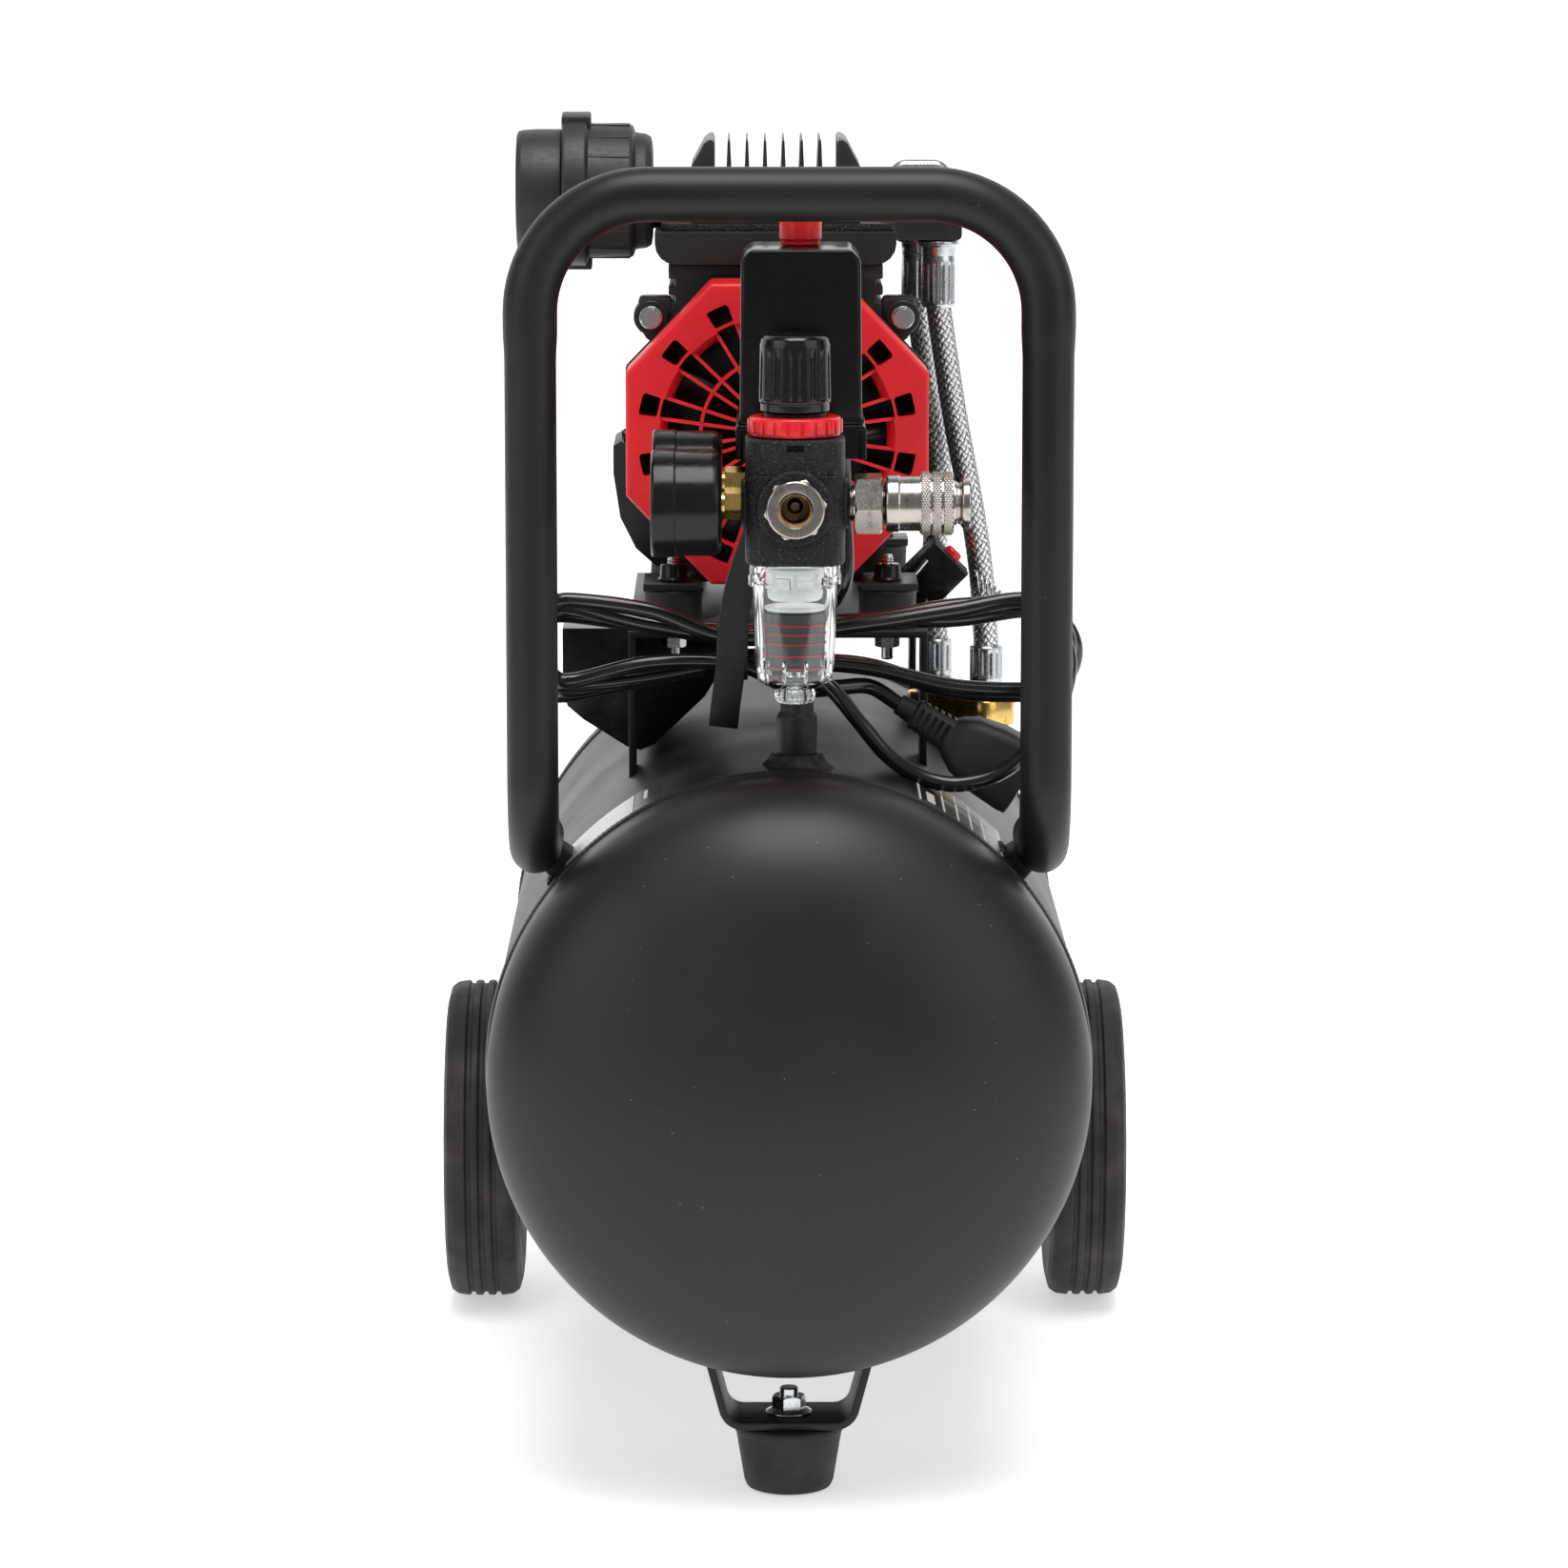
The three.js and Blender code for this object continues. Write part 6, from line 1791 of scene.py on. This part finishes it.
def make_gauge(name, y, z, stem_end):
    """A pressure gauge that faces left: cup, brass stem, dial with plain numbers, needle and lens."""
    node = f"gauge_{name}"
    cup = lathe(f"gauge_cup_{name}", [
        (19.6, DIAL_X + 6), (19.8, DIAL_X + 0.4), (20.4, DIAL_X), (21.3, DIAL_X + 0.3), (21.8, DIAL_X + 1.2),
        (21.8, DIAL_X + 9.4), (21.5, DIAL_X + 9.7), (21.2, DIAL_X + 9.9), (21.3, DIAL_X + 10.3),
        (21.2, BACK_X - 4), (20.6, BACK_X - 1.6), (19, BACK_X - 0.3), (17, BACK_X), (0, BACK_X), (0, DIAL_X + 6),
    ], "x", (0, y, z), 144, soft=0.5)
    stands_for(cup, node)
    stem = merged(f"gauge_stem_{name}", [
        rod("collar", 4.6, BACK_X, stem_end, "x", (0, y, z), 40),
        hexagon("hex", 6.6, BACK_X + 1.2, stem_end - 1.2, "x", (0, y, z), 0.9, 0.3),
    ])
    added(stem, node, "brass")
    face = DIAL_X + 6
    dial = lathe(f"gauge_dial_{name}", [
        (1.7, face), (19.4, face), (19.4, face - 0.5), (1.7, face - 0.5),
    ], "x", (0, y, z), 96)
    added(dial, node, "white_plastic")
    marks = []
    steps = 50
    for i in range(steps + 1):
        inner, width = (13.4, 0.5) if i % 5 == 0 else (15.2, 0.25)
        marks.append(dial_mark(face - 0.5, y, z, swept_to(i / steps), inner, 16.8, width))
    added(merged(f"gauge_marks_{name}", marks), node, "label_black")
    arc = [dial_mark(face - 0.5, y, z, swept_to(0.8 + 0.2 * i / 12), 17.3, 18.4, 1.7) for i in range(12)]
    added(merged(f"gauge_limit_{name}", arc), node, "print_red")
    added(numbers(f"gauge_numbers_{name}", face - 0.5, y, z), node, "label_black")
    pointer = Spot(f"pointer_{name}")
    outline = [(-1.5, -6.5), (1.5, -6.5), (0.9, 0), (0.22, 15), (-0.22, 15), (-0.9, 0)]
    needle = prism("needle", outline, "x", pointer.low.x, pointer.low.x + 0.6, edge=0.15)
    hub = lathe("hub", [
        (0, pointer.low.x - 0.3), (2.4, pointer.low.x - 0.3), (2.4, pointer.low.x + 1),
        (1.3, pointer.low.x + 1.1), (1.3, DIAL_X + 10.8), (0, DIAL_X + 10.8),
    ], "x", turns=32, soft=0.2)
    piece = turned(merged(f"needle_{name}", [needle, hub]), (0, y, z), 1.25 * math.pi, "X")
    stands_for(piece, f"pointer_{name}")
    lens = rod(f"gauge_lens_{name}", 19.2, DIAL_X + 1.2, DIAL_X + 2, "x", (0, y, z), 96)
    added(lens, node, "clear")


DIGIT_BARS = {  # which of the seven bars of a plain digit are drawn
    0: "abcdef", 2: "abged", 4: "fgbc", 6: "afgedc", 8: "abcdefg", 1: "bc",
}


def digit(value, width, height):
    """A plain digit of straight bars, standing on the origin, drawn across Y and up Z."""
    stroke = 0.3
    middle = height / 2
    bars = {
        "a": (0, width, height - stroke, height),
        "g": (0, width, middle - stroke / 2, middle + stroke / 2),
        "d": (0, width, 0, stroke),
        "f": (0, stroke, middle, height),
        "b": (width - stroke, width, middle, height),
        "e": (0, stroke, 0, middle),
        "c": (width - stroke, width, 0, middle),
    }
    return [box("bar", (-0.06, 0.06), (-bars[b][1], -bars[b][0]), bars[b][2:]) for b in DIGIT_BARS[value]]


def numbers(name, x, y, z):
    """The numbers 0 to 10 round the dial."""
    shown = []
    for i, value in enumerate((0, 2, 4, 6, 8, 10)):
        middle_y, middle_z = on_dial(10.6, -swept_to(i / 5), y, z)
        digits = [int(c) for c in str(value)]
        for place, number in enumerate(digits):
            offset = 0.8 * len(digits) + 0.2 - 1.9 * place
            corner = (x - 0.06, middle_y + offset, middle_z - 1.3)
            shown += [turned(bar, corner, 0) for bar in digit(number, 1.5, 2.6)]
    return merged(name, shown)


make_gauge("front", RY, PORT_Z, RX - BODY_HALF - 0.3)
make_gauge("rear", -163.5, 424, -14.3)


# ---- quick coupler -------------------------------------------------------------------------------
COUPLER = Spot("coupler_body")
COUPLER_CENTRE = (0, COUPLER.mid.y, 420)


def make_coupler():
    """The coupler's plug end, with a hexagon and the thread that goes into the regulator."""
    start, end = COUPLER.low.x, COUPLER.high.x

    def thread(angle, along):
        return 0.4 * math.sin(TAU * along / 1.3 + angle) if along < 27 else 0.0

    rows = [(6.9, start + 0.22 * k) for k in range(15)]
    body = lathe("body", [
        (5, start), *rows, (6.8, 38), (9, 38.4), (11.2, 39), (11.6, 39.8), (11.6, 44), (11.2, 44.6),
        (11.2, 53.4), (11.6, 54), (11.6, 55.4), (8.9, 55.8), (8.9, 67.6), (8.4, 68), (8.4, 69), (9.4, 69.6),
        (10, 70.4), (10, end - 0.6), (9.4, end), (6.4, end), (5.4, end - 1.4), (5, end - 3),
    ], "x", COUPLER_CENTRE, 96, ripple=thread, soft=0.4)
    nut = carved(
        hexagon("nut", 13, 26.4, 37.5, "x", COUPLER_CENTRE, 1.7, 0.1),
        rod("tool", 6.5, 20, 45, "x", COUPLER_CENTRE, 40),
    )
    stands_for(merged("coupler_plug", [body, nut]), "coupler_body")


def make_sleeve():
    """The sliding sleeve: three knurled bands between smooth grooves."""
    spot = Spot("coupler_sleeve")
    start, end = spot.low.x, spot.high.x
    pitch = (end - start) / 3

    def knurl(angle, along):
        band = (along - start) / pitch
        inside = band % 1.0
        if not 0.14 < inside < 0.86:
            return 0.0
        across = 42 * angle / TAU
        lift = along / 1.15
        ridges = abs(math.sin(math.pi * (across + lift)) * math.sin(math.pi * (across - lift)))
        return 0.42 * ridges - 0.1

    rows = []
    for k in range(73):
        x = start + (end - start) * k / 72
        inside = ((x - start) / pitch) % 1.0
        rows.append((12.7 if 0.12 < inside < 0.88 else 12.1, x))
    sleeve = lathe("sleeve_grip", [
        (11.9, start), *rows, (9.3, end), (9.3, 60), (11.9, 60),
    ], "x", COUPLER_CENTRE, 336, ripple=knurl)
    stands_for(sleeve, "coupler_sleeve")


make_coupler()
make_sleeve()
stands_for(from_node("tank_drain_screw", "drain_screw", 0.6), "drain_screw")


# ---- floor and light ---------------------------------------------------------------------------
def make_floor():
    """One pale sheet: flat under the machine, curved up into a wall well behind it."""
    near, far, radius, height = -1500, 2600, 900, 5000
    profile = [(near, -0.3), (far - radius, -0.3)]
    for step in range(1, 25):
        turn = (math.pi / 2) * step / 24
        profile.append((far - radius + radius * math.sin(turn), radius - radius * math.cos(turn) - 0.3))
    profile.append((far, height))
    outline = profile + [(far + 20, height), (far + 20, -20), (near, -20)]
    floor = prism("floor", outline, "x", -5000, 5000)
    m = Nodes("floor", 0.7, Emission_Color=(1, 1, 1, 1), Emission_Strength=0.5)
    m.colour(m.mixed(m.noise(400, 2), (0.90, 0.90, 0.90), (0.93, 0.93, 0.93)))
    floor.data.materials.append(m.material)


def make_light():
    """A pale world, a large soft box overhead and one at each side."""
    world = bpy.data.worlds.new("studio")
    world.use_nodes = True
    sky = world.node_tree.nodes["Background"]
    sky.inputs["Color"].default_value = (1, 1, 1, 1)
    sky.inputs["Strength"].default_value = 0.26
    bpy.context.scene.world = world
    for name, place, aim, size, power in (
        ("softbox_top", (0.1, -0.8, 2.5), (0, -0.1, 0.3), 1.5, 52),
        ("softbox_left", (-1.9, -1.4, 1.2), (0, 0, 0.35), 1.7, 13),
        ("softbox_right", (1.9, -1.4, 1.2), (0, 0, 0.35), 1.7, 13),
    ):
        data = bpy.data.lights.new(name, "AREA")
        data.shape = "SQUARE"
        data.size = size
        data.energy = power
        lamp = bpy.data.objects.new(name, data)
        lamp.location = place
        lamp.rotation_euler = (Vector(aim) - Vector(place)).to_track_quat("-Z", "Y").to_euler()
        bpy.context.scene.collection.objects.link(lamp)


make_floor()
make_light()
bpy.context.scene.view_settings.view_transform = "Standard"

bpy.context.view_layer.update()
